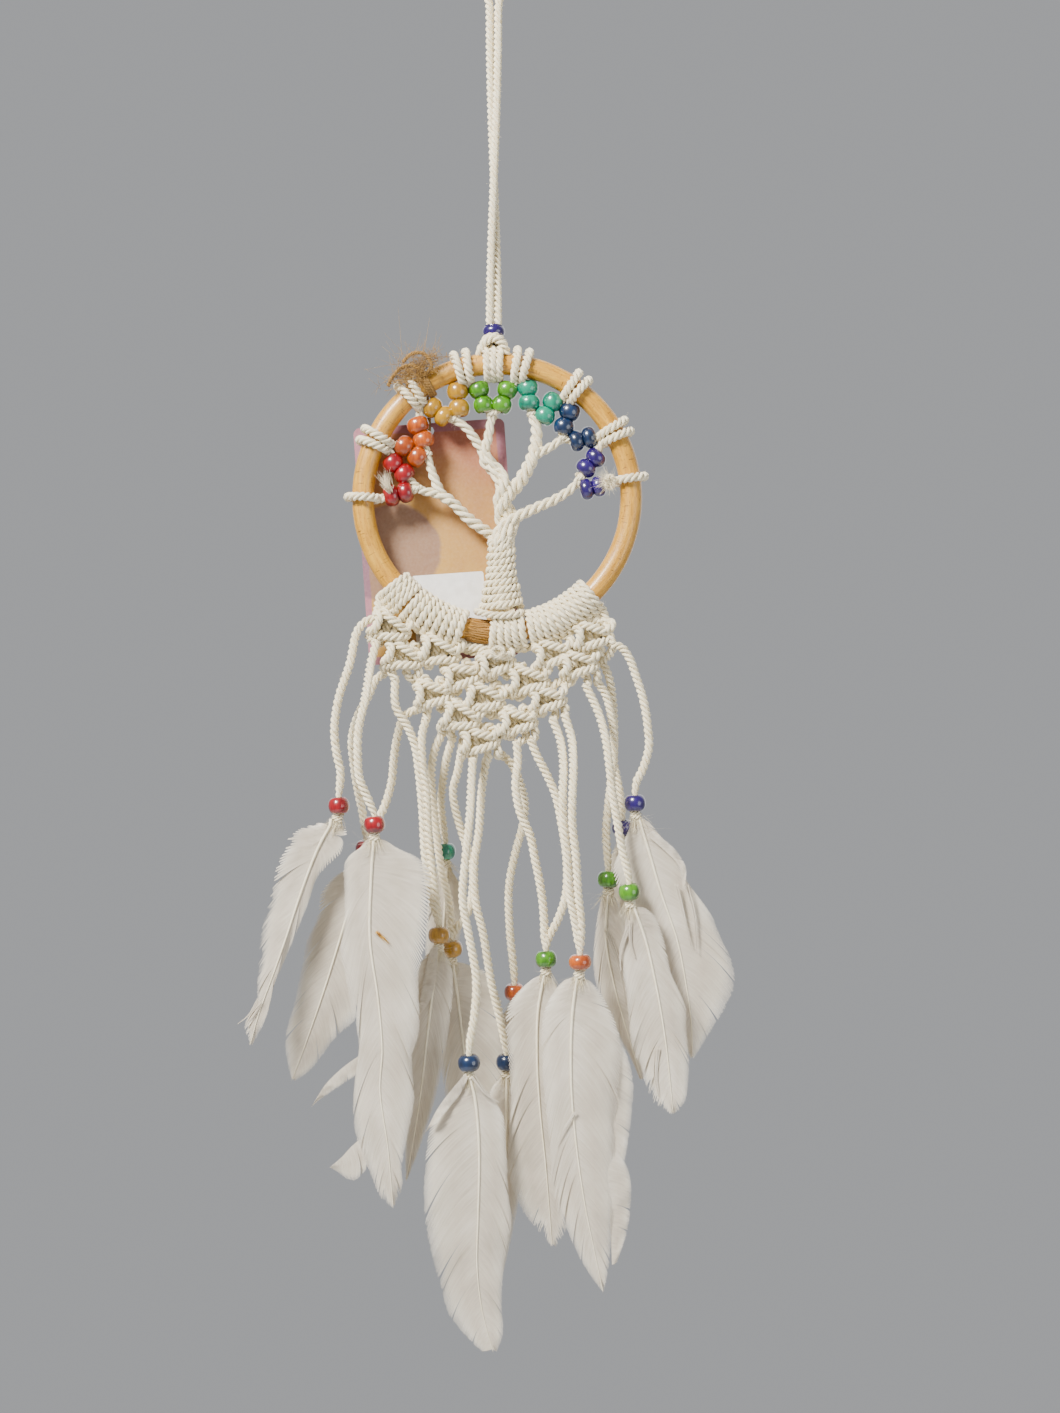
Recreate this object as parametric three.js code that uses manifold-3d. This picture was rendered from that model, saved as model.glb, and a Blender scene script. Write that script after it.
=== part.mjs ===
// A dream catcher: a bent rattan hoop with a wrapped cotton tree inside it, a knotted cotton net under it,
// and cords that hang from the net, each with a lacquered wooden bead and a feather.
// Millimetres, +Z up, front is -Y. The origin is the inner top of the hanging loop.
import * as THREE from "three";
import { mergeVertices } from "three/addons/utils/BufferGeometryUtils.js";
import Module from "manifold-3d";

const wasm = await Module();
wasm.setup();

// Driving dimensions
const CORD_R = 1.7; // three-ply cotton cord
const GAP = 0.3; // between touching pieces
const HOOP_R = 50.85; // centreline of the hoop
const ROD_R = 4.15; // rattan rod
const HOOP_X = 1.2; // the hoop's centre, right of the hanging cord
const HOOP_Z = -215;
const HITCH_T = 2.6; // how far a hitch stands off the rod
const HITCH_R = ROD_R + GAP + HITCH_T;
const BEAD_R = 4;
const BEAD_H = 6;
const BORE_R = 1.3;
const FEATHER_T = 1.2;
const SIDES = 8;
const DEG = Math.PI / 180;

const COLOURS = {
  cotton: 0xe4dccb,
  rattan: 0xd8a763,
  feather: 0xd9d4cd,
  jute: 0xa98a5e,
  card: 0xdf9a86,
  red: 0xc3272e,
  orange: 0xe8651a,
  yellow: 0xd9a514,
  green: 0x4f9a12,
  teal: 0x1f8f7e,
  navy: 0x1e3a5f,
  purple: 0x2e1a7a,
};

const part = new THREE.Group();
const hoopFrame = new THREE.Group(); // its origin is the hoop's centre
hoopFrame.position.set(HOOP_X, 0, HOOP_Z);
part.add(hoopFrame);

function addMesh(group, name, geometry, colour, roughness) {
  const material = new THREE.MeshStandardMaterial({ color: COLOURS[colour], roughness, metalness: 0 });
  const mesh = new THREE.Mesh(geometry, material);
  mesh.name = name;
  group.add(mesh);
  return mesh;
}

// Booleans

function toSolid(geometry) {
  const plain = geometry.clone();
  plain.deleteAttribute("normal");
  plain.deleteAttribute("uv");
  const merged = mergeVertices(plain, 1e-4);
  const mesh = new wasm.Mesh({
    numProp: 3,
    vertProperties: new Float32Array(merged.attributes.position.array),
    triVerts: new Uint32Array(merged.index.array),
  });
  return new wasm.Manifold(mesh);
}

function toGeometry(solid) {
  const mesh = solid.getMesh();
  const geometry = new THREE.BufferGeometry();
  geometry.setAttribute("position", new THREE.BufferAttribute(new Float32Array(mesh.vertProperties), 3));
  geometry.setIndex(new THREE.BufferAttribute(new Uint32Array(mesh.triVerts), 1));
  geometry.computeVertexNormals();
  return geometry;
}

function join(geometries) {
  const solids = geometries.map(toSolid);
  return toGeometry(solids.reduce((whole, next) => whole.add(next)));
}

// Shapes

function roundSection(radius, sides = SIDES) {
  const corners = [];
  for (let i = 0; i < sides; i++) {
    const angle = (2 * Math.PI * (i + 0.5)) / sides;
    corners.push(new THREE.Vector2(radius * Math.cos(angle), radius * Math.sin(angle)));
  }
  return new THREE.Shape(corners);
}

function tube(points, radius = CORD_R, steps = 12, sides = SIDES) {
  const corners = points.map((p) => new THREE.Vector3(...p));
  const path = new THREE.CatmullRomCurve3(corners, false, "centripetal");
  const section = roundSection(radius, sides);
  return new THREE.ExtrudeGeometry(section, { extrudePath: path, steps, bevelEnabled: false });
}

function ball(radius, squash, at, around = 8, down = 6) {
  const geometry = new THREE.SphereGeometry(radius, around, down);
  geometry.rotateX(90 * DEG);
  geometry.scale(...squash);
  geometry.translate(...at);
  return geometry;
}

// A bead is turned: its bore stands along Z.
function bead(radius, height, bore) {
  const profile = [];
  const turns = 7;
  for (let i = 0; i < turns; i++) {
    const angle = -62 * DEG + (i * 124 * DEG) / (turns - 1);
    const level = (height / 2) * (Math.sin(angle) / Math.sin(62 * DEG));
    profile.push(new THREE.Vector2(radius * Math.cos(angle) ** 0.7, level));
  }
  profile.unshift(new THREE.Vector2(bore, -height / 2));
  profile.push(new THREE.Vector2(bore, height / 2), new THREE.Vector2(bore, -height / 2));
  const geometry = new THREE.LatheGeometry(profile, 12);
  geometry.rotateX(90 * DEG);
  return geometry;
}

// A point at the hoop's centreline, at an angle from +X in degrees
function onHoop(angle, radius = HOOP_R) {
  return [radius * Math.cos(angle * DEG), 0, radius * Math.sin(angle * DEG)];
}

// A ring of cord turns round the rod, from one angle of the hoop to another
function sleeve(from, to, outer, inner = ROD_R + GAP, steps = 4) {
  const path = new THREE.Curve();
  path.getPoint = (t, target = new THREE.Vector3()) => target.set(...onHoop(from + (to - from) * t));
  const section = roundSection(outer, 12);
  section.holes.push(new THREE.Path(roundSection(inner, 12).getPoints().reverse()));
  return new THREE.ExtrudeGeometry(section, { extrudePath: path, steps, bevelEnabled: false });
}

// Hanging cord: one cord doubled, with a teardrop loop at the top. The doubled stretch is drawn tight.
const HANGER_R = 1.9;
const LOOP_HALF = 7;
const KNOT_TOP = HOOP_Z + HOOP_R + HITCH_R + 0.4;

function hangerCord() {
  const side = [
    [0.9, 0, -30],
    [1.6, 0, -25.5],
    [4.2, 0, -19.5],
    [6.4, 0, -13],
    [LOOP_HALF, 0, -7],
    [5.4, 0, -1.6],
    [2.6, 0, 1.1],
  ];
  const mirrored = side.map(([x, y, z]) => [-x, y, z]).reverse();
  const loop = tube([...side, [0, 0, CORD_R], ...mirrored], CORD_R, 34);
  const doubled = tube([[0, 0, -26], [0, 0, -90], [0, 0, KNOT_TOP + GAP]], HANGER_R, 8);
  return join([loop, doubled]);
}

addMesh(part, "hanger_cord", hangerCord(), "cotton", 0.9);
const hangerBead = addMesh(part, "hanger_bead", bead(3.8, 5.4, HANGER_R + GAP), "purple", 0.25);
hangerBead.position.z = KNOT_TOP + GAP + 2.9;

// Hoop and its fixed ties

function hoopRing() {
  const geometry = new THREE.TorusGeometry(HOOP_R, ROD_R, 12, 60);
  geometry.rotateX(90 * DEG);
  return geometry;
}

addMesh(hoopFrame, "hoop", hoopRing(), "rattan", 0.35);

// The hanging cord's hitch on the hoop, a little left of its top
const HANGER_ANGLE = 91.35;
const hangerHitch = sleeve(HANGER_ANGLE - 4.2, HANGER_ANGLE + 4.2, HITCH_R, ROD_R + GAP, 2);
addMesh(hoopFrame, "hanger_knot", hangerHitch, "cotton", 0.9);

// The net's hitches, side by side on the lower arc
const NET_FROM = 223.7;
const NET_TO = 312.7;
addMesh(hoopFrame, "net_hitches", sleeve(NET_FROM, NET_TO, HITCH_R, ROD_R + GAP, 16), "cotton", 0.9);

// The knotted net: rows of square knots, one fewer in each row, as [x, z] from the hoop's centre
const NET_ROWS = [
  [[-40.2, -49.6], [-21.6, -58.6], [0, -62.8], [21.4, -59.4], [36.4, -52.6]],
  [[-35.4, -60.6], [-13.3, -67.8], [12.1, -69.4], [31.2, -63.4]],
  [[-23.9, -74.7], [-4.6, -76.2], [19.3, -76.6]],
  [[-13.3, -83.4], [8, -85]],
  [[-6.4, -92.2]],
];
const KNOT_WIDE = [1.5, 1, 0.9];

function link(a, b) {
  return tube([[a[0], 0, a[1]], [(a[0] + b[0]) / 2, 0, (a[1] + b[1]) / 2], [b[0], 0, b[1]]], 2.1, 2, 6);
}

function macrameNet() {
  const pieces = [];
  NET_ROWS.forEach((row, r) => {
    row.forEach((knot, i) => {
      pieces.push(ball(4.3, KNOT_WIDE, [knot[0], 0, knot[1]], 8, 6));
      const below = NET_ROWS[r + 1];
      if (below && i < below.length) pieces.push(link(knot, below[i]));
      if (below && i > 0) pieces.push(link(knot, below[i - 1]));
    });
  });
  const clearance = toSolid(sleeve(NET_FROM - 3, NET_TO + 3, HITCH_R + GAP, ROD_R - 1, 16));
  return toGeometry(toSolid(join(pieces)).subtract(clearance));
}

addMesh(hoopFrame, "macrame_net", macrameNet(), "cotton", 0.9);

// Tree: a wrapped trunk that parts into seven branches

const TRUNK_PROFILE = [
  [0, -43.1], [8.2, -43.1], [7.3, -36], [5.9, -28.5], [5.3, -16], [4.8, -10], [0, -10],
];
const BRANCHES = {
  red: [[0.6, -17], [-10.2, -8.3], [-19.7, 0.4], [-29.4, 3]],
  orange: [[-20.6, 0.8], [-24.4, 9], [-26, 15.2]],
  yellow: [[-3.8, 16.4], [-12.1, 26.9], [-15.4, 28.9]],
  green: [[-3.8, 16.4], [-3.2, 24], [-2.3, 30.4]],
  teal: [[3, -1], [8.7, 6.4], [12.9, 14], [14.8, 21.2], [14.8, 27.3], [13.6, 30.8]],
  navy: [[14, 16], [20.9, 19.7], [24.4, 22]],
  purple: [[3.6, -8], [14.8, -3.8], [21.6, -0.8], [28.1, 3.4], [30.6, 6.4]],
};

function treeTrunk() {
  const base = new THREE.LatheGeometry(TRUNK_PROFILE.map((p) => new THREE.Vector2(...p)), 12);
  base.rotateX(90 * DEG);
  base.scale(1, 0.75, 1);
  base.translate(1.6, 0, 0);
  const middle = tube([[2.4, 0, -15], [3.6, 0, -7], [2.3, 0, 2], [-0.6, 0, 9]], 4.4, 4);
  const upper = tube([[0.4, 0, 6], [-2.3, 0, 12.5], [-4.4, 0, 18]], 3, 3);
  const branches = Object.values(BRANCHES).map((line) => {
    return tube(line.map(([x, z]) => [x, 0, z]), 1.9, 2 * line.length, 6);
  });
  return join([base, middle, upper, ...branches]);
}

const clearOfHitches = toSolid(sleeve(NET_FROM, NET_TO, HITCH_R + GAP, ROD_R, 16));
addMesh(hoopFrame, "tree_trunk", toGeometry(toSolid(treeTrunk()).subtract(clearOfHitches)), "cotton", 0.9);

// Leaves: at each branch's end two strands part, take two beads each and are hitched to the hoop.
// ties are the hoop angles of the strands' hitches; owned says which hitches belong to this leaf.
const LEAVES = {
  red: {
    end: [-30.2, 3.6], ties: [180, 154.8], owned: [180],
    beads: [[-40.1, 0.9], [-34.8, 2.2], [-39.4, 13.3], [-35.1, 9.1]],
  },
  orange: {
    end: [-26.6, 16.4], ties: [154.8, 129.3], owned: [154.8],
    beads: [[-35.2, 19.6], [-30.1, 15.6], [-30, 27.6], [-27.9, 22]],
  },
  yellow: {
    end: [-16.2, 29.9], ties: [129.3, 104.6], owned: [129.3],
    beads: [[-24.4, 34.2], [-20.2, 31], [-14.9, 40.4], [-14.4, 34]],
  },
  green: {
    end: [-2, 31.8], ties: [104.6, 79.7], owned: [104.6],
    beads: [[-6.8, 41], [-5.1, 35.4], [3.9, 41], [1.8, 35.4]],
  },
  teal: {
    end: [13.4, 32], ties: [79.7, 54.4], owned: [79.7],
    beads: [[11.7, 41.7], [12.2, 36.1], [21.2, 36.5], [18.1, 31.2]],
  },
  navy: {
    end: [25.2, 22.8], ties: [54.4, 28.9], owned: [54.4],
    beads: [[27.5, 32.7], [25.4, 27], [34.9, 23], [30.1, 21.6]],
  },
  purple: {
    end: [31.6, 7.4], ties: [28.9, 8], owned: [28.9, 8],
    beads: [[37.4, 16.4], [33.9, 12], [38.6, 4.8], [33.9, 5.2]],
  },
};
const HITCH_HALF = 3.8; // half of a hitch's width, in degrees of the hoop

function leaf({ end, ties, owned, beads }) {
  const pieces = owned.map((angle) => {
    return sleeve(angle - HITCH_HALF, angle + HITCH_HALF, HITCH_R, ROD_R + GAP, 2);
  });
  ties.forEach((angle, i) => {
    const outer = beads[2 * i];
    const inner = beads[2 * i + 1];
    const reach = owned.includes(angle) ? HITCH_R - 1 : HITCH_R + GAP;
    const [x, , z] = onHoop(angle + (i ? 3 : -3), HOOP_R - reach);
    const way = [[x, z], outer, inner, end];
    pieces.push(tube(way.map((at) => [at[0], 0, at[1]]), 1.3, 6, 6));
    pieces.push(ball(BEAD_R, [0.95, 1, 0.85], [outer[0], 0, outer[1]]));
    pieces.push(ball(BEAD_R, [0.95, 1, 0.85], [inner[0], 0, inner[1]]));
  });
  pieces.push(ball(1.8, [1, 1, 1], [end[0], 0, end[1]], 8, 6));
  const whole = toSolid(join(pieces));
  const shared = ties.filter((angle) => !owned.includes(angle));
  return shared.reduce((rest, angle) => {
    return rest.subtract(toSolid(sleeve(angle - 5, angle + 5, HITCH_R + 2 * GAP, ROD_R - 1, 2)));
  }, whole);
}

const trunkSpace = toSolid(treeTrunk());
for (const [colour, plan] of Object.entries(LEAVES)) {
  const whole = leaf(plan).subtract(trunkSpace);
  addMesh(hoopFrame, `leaf_${colour}`, toGeometry(whole), colour, 0.25);
}

// Hang tag: a card behind the hoop, on a loop of jute twine
const TAG = { width: 58, height: 91, thick: 0.6, corner: 2.5, y: 9.2, top: 29.5, lean: 4 };
const TWINE_ANGLE = 121.8;
const TWINE_R = 0.8;
const HOLE = { x: -26.2, z: 26.5, r: 2 };

function hangTag() {
  const { width: w, height: h, corner: c } = TAG;
  const drop = TAG.top - HOLE.z;
  const card = new THREE.Shape();
  card.moveTo(-w / 2 + c, drop);
  card.absarc(w / 2 - c, drop - c, c, 90 * DEG, 0, true);
  card.absarc(w / 2 - c, drop - h + c, c, 0, -90 * DEG, true);
  card.absarc(-w / 2 + c, drop - h + c, c, -90 * DEG, -180 * DEG, true);
  card.absarc(-w / 2 + c, drop - c, c, 180 * DEG, 90 * DEG, true);
  const hole = new THREE.Path();
  hole.absarc(0, 0, HOLE.r, 0, 360 * DEG, false);
  card.holes.push(hole);
  const settings = { depth: TAG.thick, bevelEnabled: false, curveSegments: 4 };
  const geometry = new THREE.ExtrudeGeometry(card, settings);
  geometry.rotateX(90 * DEG);
  geometry.rotateY(-TAG.lean * DEG);
  geometry.translate(HOLE.x, TAG.y, HOLE.z);
  return geometry;
}

addMesh(hoopFrame, "hang_tag", hangTag(), "card", 0.55);

function tagTwine() {
  const [x, , z] = onHoop(TWINE_ANGLE);
  const ring = sleeve(TWINE_ANGLE - 1.6, TWINE_ANGLE + 1.6, ROD_R + GAP + 2 * TWINE_R, ROD_R + GAP, 1);
  const way = [
    [x, 5.2, z], [x + 0.1, 7, z - 6], [HOLE.x, 7.2, HOLE.z + 4], [HOLE.x, 7.4, HOLE.z + 0.4],
    [HOLE.x, 8.6, HOLE.z], [HOLE.x, 10.4, HOLE.z + 0.5], [HOLE.x, 11, HOLE.z + 5],
  ];
  return join([ring, tube(way, TWINE_R, 16, 6)]);
}

addMesh(hoopFrame, "tag_twine", tagTwine(), "jute", 0.95);

// Pendants. Each hangs in its own plane, y. routes are the cords' centrelines from the net to the bead,
// as [x, z] from the hoop's centre; bead is the bead's centre; quill is the feather's rib; wide is the
// vane's half width to the left and to the right.
const PENDANTS = {
  red_1: { colour: "red", y: -5, bead: [-60, -116.7],
    routes: [[[-45.4, -45.6], [-49.3, -46.6], [-52.9, -50.3], [-55.8, -62.6], [-60.2, -76.4],
        [-61.7, -88], [-60.9, -96.7], [-59.4, -104]]],
    quill: [[-62, -121], [-75, -150], [-84, -180], [-93, -206]], wide: [8.5, 9.5] },
  red_2: { colour: "red", y: -17, bead: [-46.5, -123.8],
    routes: [[[-45.6, -54], [-47.9, -62.6], [-49.3, -71.3], [-50.8, -79.3], [-52.6, -88],
        [-52.9, -96.7], [-52.2, -106.2], [-49, -114]]],
    quill: [[-46.6, -128], [-47.8, -152.5], [-44.4, -209.4], [-41, -268]], wide: [10.5, 19] },
  red_3: { colour: "red", y: 7, bead: [-49.6, -133],
    routes: [[[-41.3, -66], [-45.7, -68.6], [-48.6, -74.8], [-52.9, -82.8], [-55.1, -91.5],
        [-54.4, -101], [-52.9, -110.5], [-51.1, -119]],
      [[-31.2, -80.4], [-35.4, -83], [-37.7, -90], [-39.1, -98.7], [-40.1, -108.2], [-43.4, -118.5],
        [-47.6, -125.6]]],
    quill: [[-50.6, -137.4], [-58, -162], [-66, -190], [-75.5, -221]], wide: [9, 12] },
  yellow_1: { colour: "yellow", y: -1, bead: [-22, -165.8],
    routes: [[[-38.6, -67.6], [-38.4, -79.3], [-34.1, -86.5], [-31.2, -93.9], [-29.6, -104.6],
        [-28.2, -120], [-27.4, -135], [-25.2, -150], [-23, -157.8]],
      [[-26.8, -83.6], [-28.4, -89.5], [-28.3, -101.1], [-26.8, -111.3], [-26.1, -125.8],
        [-24.7, -140.3], [-23.2, -152.5], [-22.4, -158]]],
    quill: [[-22.4, -170], [-25.5, -196], [-29.5, -230], [-34.5, -259]], wide: [8, 8] },
  yellow_2: { colour: "yellow", y: 12, bead: [-17.1, -171],
    routes: [[[-20.2, -88.4], [-23.2, -94.4], [-24.8, -102.4], [-24.5, -112], [-23.2, -125.8],
        [-21.4, -139.8], [-18.4, -152.7], [-17.4, -163]],
      [[-12.9, -91.4], [-14.9, -103.9], [-16.7, -111.1], [-15.2, -120.6], [-12.6, -129.3],
        [-9.6, -138], [-9.3, -148], [-11.2, -157.6], [-15.6, -163.6]]],
    quill: [[-16.8, -175.2], [-13, -205], [-10, -235], [-9, -266]], wide: [11, 12] },
  teal: { colour: "teal", y: 19, bead: [-19.6, -134],
    routes: [[[-16.6, -90.4], [-18.9, -98], [-20.4, -107], [-21.2, -117], [-20.2, -126]]],
    quill: null, wide: null },
  navy_1: { colour: "navy", y: -12, bead: [-10.6, -214.3],
    routes: [[[-9.2, -98.8], [-9.8, -108.6], [-10.5, -122.1], [-11.9, -136.5], [-13, -152.5],
        [-10.4, -167.3], [-7.9, -182.5], [-8.6, -196.4], [-10.2, -206]]],
    quill: [[-10.6, -218.8], [-9.1, -255], [-7.6, -290], [-1, -324]], wide: [17, 13.5] },
  navy_2: { colour: "navy", y: 6.5, bead: [3.6, -214],
    routes: [[[-4, -98.8], [-5.8, -111.1], [-6.8, -125.8], [-8.6, -138.5], [-8.2, -152.5],
        [-5.3, -165.2], [-2, -184.7], [1, -197.1], [2.8, -205.8]]],
    quill: [[3.6, -218.4], [3.4, -245], [1.6, -275], [0, -301]], wide: [8, 8] },
  orange_1: { colour: "orange", y: 17, bead: [6.6, -187.4],
    routes: [[[1.4, -97], [5.6, -101], [8.5, -107.2], [10.6, -115.7], [9.6, -124.9], [7, -134.4],
        [4.6, -147.5], [4.9, -164.2], [6.4, -179.4]]],
    quill: [[6.6, -191.8], [8.5, -215], [10, -240], [11.5, -268]], wide: [9, 10] },
  green_1: { colour: "green", y: -5.5, bead: [18.6, -174.9],
    routes: [[[7.4, -92.2], [7.9, -99.7], [7, -108.4], [8.5, -118.5], [12.5, -127.8], [14.3, -136.5],
        [16.4, -146.9], [17.6, -156.2], [18.1, -166.8]],
      [[12.6, -91.4], [15, -97.4], [18.6, -104.4], [22.3, -113.1], [24.4, -123.1], [26.4, -137],
        [26.1, -150.5], [23, -160.2], [19.6, -166.8]]],
    quill: [[18.4, -179.2], [15.6, -215], [16.6, -250], [20.5, -284]], wide: [12, 12] },
  orange_2: { colour: "orange", y: -17, bead: [31.5, -176],
    routes: [[[20.8, -83.4], [23.7, -91], [25.1, -101.1], [24.8, -112.7], [25.1, -122.1],
        [26.6, -136.5], [27.6, -150.5], [29.6, -160.7], [30.8, -168]],
      [[25.6, -82.2], [28.1, -90.5], [28.9, -101.1], [28.5, -114.9], [28.6, -124.3], [29.9, -136],
        [30.8, -150.5], [31.8, -160], [31.8, -168]]],
    quill: [[30.8, -180.4], [28.2, -213], [30.4, -252], [39.8, -300]], wide: [9.5, 17.5] },
  green_2: { colour: "green", y: 1, bead: [42.2, -144.7],
    routes: [[[37.6, -69.4], [41.2, -74.5], [43.2, -82.3], [44.4, -91.5], [43.8, -102.8],
        [42.2, -116.5], [41.4, -127.1], [42, -136.6]]],
    quill: [[43, -149], [45.5, -170], [50, -198], [57, -229]], wide: [8, 9.5] },
  green_3: { colour: "green", y: -12, bead: [50.2, -149.4],
    routes: [[[33.5, -70.8], [38, -80.3], [41, -90.5], [42.6, -101.4], [43.8, -112.1],
        [45.5, -122.1], [47.4, -133], [49.4, -141.2]]],
    quill: [[51.4, -153.6], [57, -178], [61.5, -203], [67, -233]], wide: [8, 8.5] },
  purple_1: { colour: "purple", y: 12, bead: [47.6, -125],
    routes: [[[39.6, -61.4], [42.6, -68.3], [44.1, -78.5], [44.5, -89.5], [44.4, -100.4],
        [46.2, -109.4], [47.4, -117]]],
    quill: [[48.2, -129.4], [51.5, -150], [56, -172], [62, -196]], wide: [8, 8] },
  purple_2: { colour: "purple", y: -5.5, bead: [52.3, -115.7],
    routes: [[[43.4, -55.6], [47, -56.6], [50, -60.4], [52.7, -67.6], [55.6, -77], [57.2, -86.9],
        [57.6, -94.6], [55.4, -102.6], [53, -107.6]]],
    quill: [[54, -120], [61.8, -144.9], [69.4, -175.2], [74.5, -212]], wide: [7, 16.5] },
};

// The pendants' positions were read off the photo as if all of them were in the hoop's plane. One in front
// of it looks larger and further from the view's middle, so it is drawn in by its depth.
const VIEW = { x: 12.5, z: -79.1, distance: 800 };

function drawIn(y) {
  return (VIEW.distance + y) / VIEW.distance;
}

function seen([x, z], y) {
  return [VIEW.x + (x - VIEW.x) * drawIn(y), VIEW.z + (z - VIEW.z) * drawIn(y)];
}

// A cord leaves the net's plane and eases over to its pendant's plane.
const EASE_LENGTH = 30;
const NET_FACE = 3; // a cord leaves a knot this far before or behind the net's middle plane at most

function cordPoints(route, depth) {
  const top = route[0][1];
  const start = Math.max(-NET_FACE, Math.min(NET_FACE, depth));
  return route.map(([x, z]) => {
    const t = Math.min(1, (top - z) / EASE_LENGTH);
    const y = start + (depth - start) * t * t * (3 - 2 * t);
    const [seenX, seenZ] = seen([x, z], y);
    return [seenX, y, seenZ];
  });
}

function pendantCord({ routes, y, bead: at }) {
  const [beadX, beadZ] = seen(at, y);
  const bottom = [beadX, y, beadZ + BEAD_H / 2 + 3 * GAP];
  return join(routes.map((route) => tube([...cordPoints(route, y), bottom], CORD_R, route.length + 3)));
}

// The vane's outline: its half width grows fast from the quill, holds, and closes at the tip.
function vaneWidth(t) {
  return Math.sin(Math.PI * t ** 0.55) ** 0.7;
}

function feather({ quill, wide, y }) {
  const rib = new THREE.CatmullRomCurve3(quill.map((point) => new THREE.Vector3(...seen(point, y), 0)));
  const [toLeft, toRight] = wide.map((half) => half * drawIn(y));
  const steps = 12;
  const left = [];
  const right = [];
  for (let i = 0; i <= steps; i++) {
    const t = i / steps;
    const at = rib.getPointAt(t);
    const along = rib.getTangentAt(t);
    const spread = i === 0 || i === steps ? 0.08 : vaneWidth(t);
    left.push(new THREE.Vector2(at.x + along.y * toLeft * spread, at.y - along.x * toLeft * spread));
    right.push(new THREE.Vector2(at.x - along.y * toRight * spread, at.y + along.x * toRight * spread));
  }
  const vane = new THREE.Shape([...left, ...right.reverse()]);
  const geometry = new THREE.ExtrudeGeometry(vane, { depth: FEATHER_T, bevelEnabled: false });
  geometry.rotateX(90 * DEG);
  geometry.translate(0, y + FEATHER_T / 2, 0);
  return geometry;
}

for (const [name, plan] of Object.entries(PENDANTS)) {
  addMesh(hoopFrame, `${name}_cord`, pendantCord(plan), "cotton", 0.9);
  const turned = bead(BEAD_R, BEAD_H, BORE_R);
  const [x, z] = seen(plan.bead, plan.y);
  turned.translate(x, plan.y, z);
  addMesh(hoopFrame, `${name}_bead`, turned, plan.colour, 0.25);
  if (plan.quill) addMesh(hoopFrame, `${name}_feather`, feather(plan), "feather", 0.8);
}

export default part;
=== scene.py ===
"""The looks of a dream catcher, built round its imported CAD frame.

Lengths here are millimetres from the hoop's centre, with +Z up and the front at -Y, until Soup.object()
makes a Blender mesh of them in metres in the frame's own axes.
"""

import math

import bpy
import numpy as np
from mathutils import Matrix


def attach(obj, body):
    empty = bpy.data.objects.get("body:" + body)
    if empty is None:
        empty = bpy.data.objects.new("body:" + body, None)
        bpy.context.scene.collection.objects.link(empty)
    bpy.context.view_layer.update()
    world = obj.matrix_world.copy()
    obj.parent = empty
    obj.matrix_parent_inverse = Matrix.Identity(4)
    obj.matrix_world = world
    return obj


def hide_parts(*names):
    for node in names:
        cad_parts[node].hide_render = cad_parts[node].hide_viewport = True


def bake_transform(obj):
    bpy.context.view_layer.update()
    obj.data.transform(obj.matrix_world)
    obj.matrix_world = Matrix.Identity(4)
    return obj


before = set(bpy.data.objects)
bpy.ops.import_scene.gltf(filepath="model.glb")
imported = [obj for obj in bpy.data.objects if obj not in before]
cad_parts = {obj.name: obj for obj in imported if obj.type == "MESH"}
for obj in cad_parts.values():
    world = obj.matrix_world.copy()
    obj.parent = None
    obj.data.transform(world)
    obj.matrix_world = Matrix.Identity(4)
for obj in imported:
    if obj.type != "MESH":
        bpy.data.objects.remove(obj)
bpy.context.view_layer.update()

MM = 0.001
HOOP_AT = np.array([1.2, 0.0, -215.0])  # the hoop's centre in the frame, in mm
WORLD_AT = np.zeros(3)  # for pieces that are given in the frame's own axes
HOOP_R = 50.85
ROD_R = 4.15
CORD_R = 1.7
TAU = 2 * math.pi

# ---------------------------------------------------------------- camera, light and floor

VIEW_FROM = (0.0137, -0.8, -0.2941)  # metres
VIEW_HEIGHT = 0.536  # metres, at the hoop's plane
SENSOR = 24
LIT_POINT = np.array([0.0, 0.0, -0.30])
FLOOR_AT = (0, 0, -0.95)
FLOOR_R = 0.9


def add_camera():
    data = bpy.data.cameras.new("camera")
    data.sensor_fit = "VERTICAL"
    data.sensor_height = SENSOR
    data.lens = SENSOR * -VIEW_FROM[1] / VIEW_HEIGHT
    data.clip_start = 0.05
    camera = bpy.data.objects.new("camera", data)
    camera.location = VIEW_FROM
    camera.rotation_euler = (math.pi / 2, 0, 0)
    bpy.context.collection.objects.link(camera)
    bpy.context.scene.camera = camera


def add_light(name, place, size, power, colour=(1, 1, 1)):
    data = bpy.data.lights.new(name, "AREA")
    data.shape = "DISK"
    data.size = size
    data.energy = power
    data.color = colour
    light = bpy.data.objects.new(name, data)
    light.location = place
    target = LIT_POINT - np.array(place)
    yaw = math.atan2(target[1], target[0])
    down = math.acos(-target[2] / np.linalg.norm(target))
    light.rotation_euler = (down, 0, yaw - math.pi / 2)
    bpy.context.collection.objects.link(light)


def add_world(colour, strength):
    world = bpy.data.worlds.new("studio")
    world.use_nodes = True
    background = world.node_tree.nodes["Background"]
    background.inputs["Color"].default_value = (*colour, 1)
    background.inputs["Strength"].default_value = strength
    bpy.context.scene.world = world


add_camera()
add_world((0.62, 0.63, 0.65), 0.62)
add_light("key", (-0.6, -0.8, 0.5), 0.4, 46.0, (1.0, 0.985, 0.955))
add_light("fill", (1.0, -0.9, -0.35), 0.9, 6.0, (0.95, 0.97, 1.0))
add_light("rim", (0.3, 1.0, 0.3), 2.4, 14.0)

# ---------------------------------------------------------------- materials


def linear(code):
    """A hex colour as linear RGBA."""
    parts = [int(code[i : i + 2], 16) / 255 for i in (0, 2, 4)]
    return (*[c / 12.92 if c < 0.04045 else ((c + 0.055) / 1.055) ** 2.4 for c in parts], 1)


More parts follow.
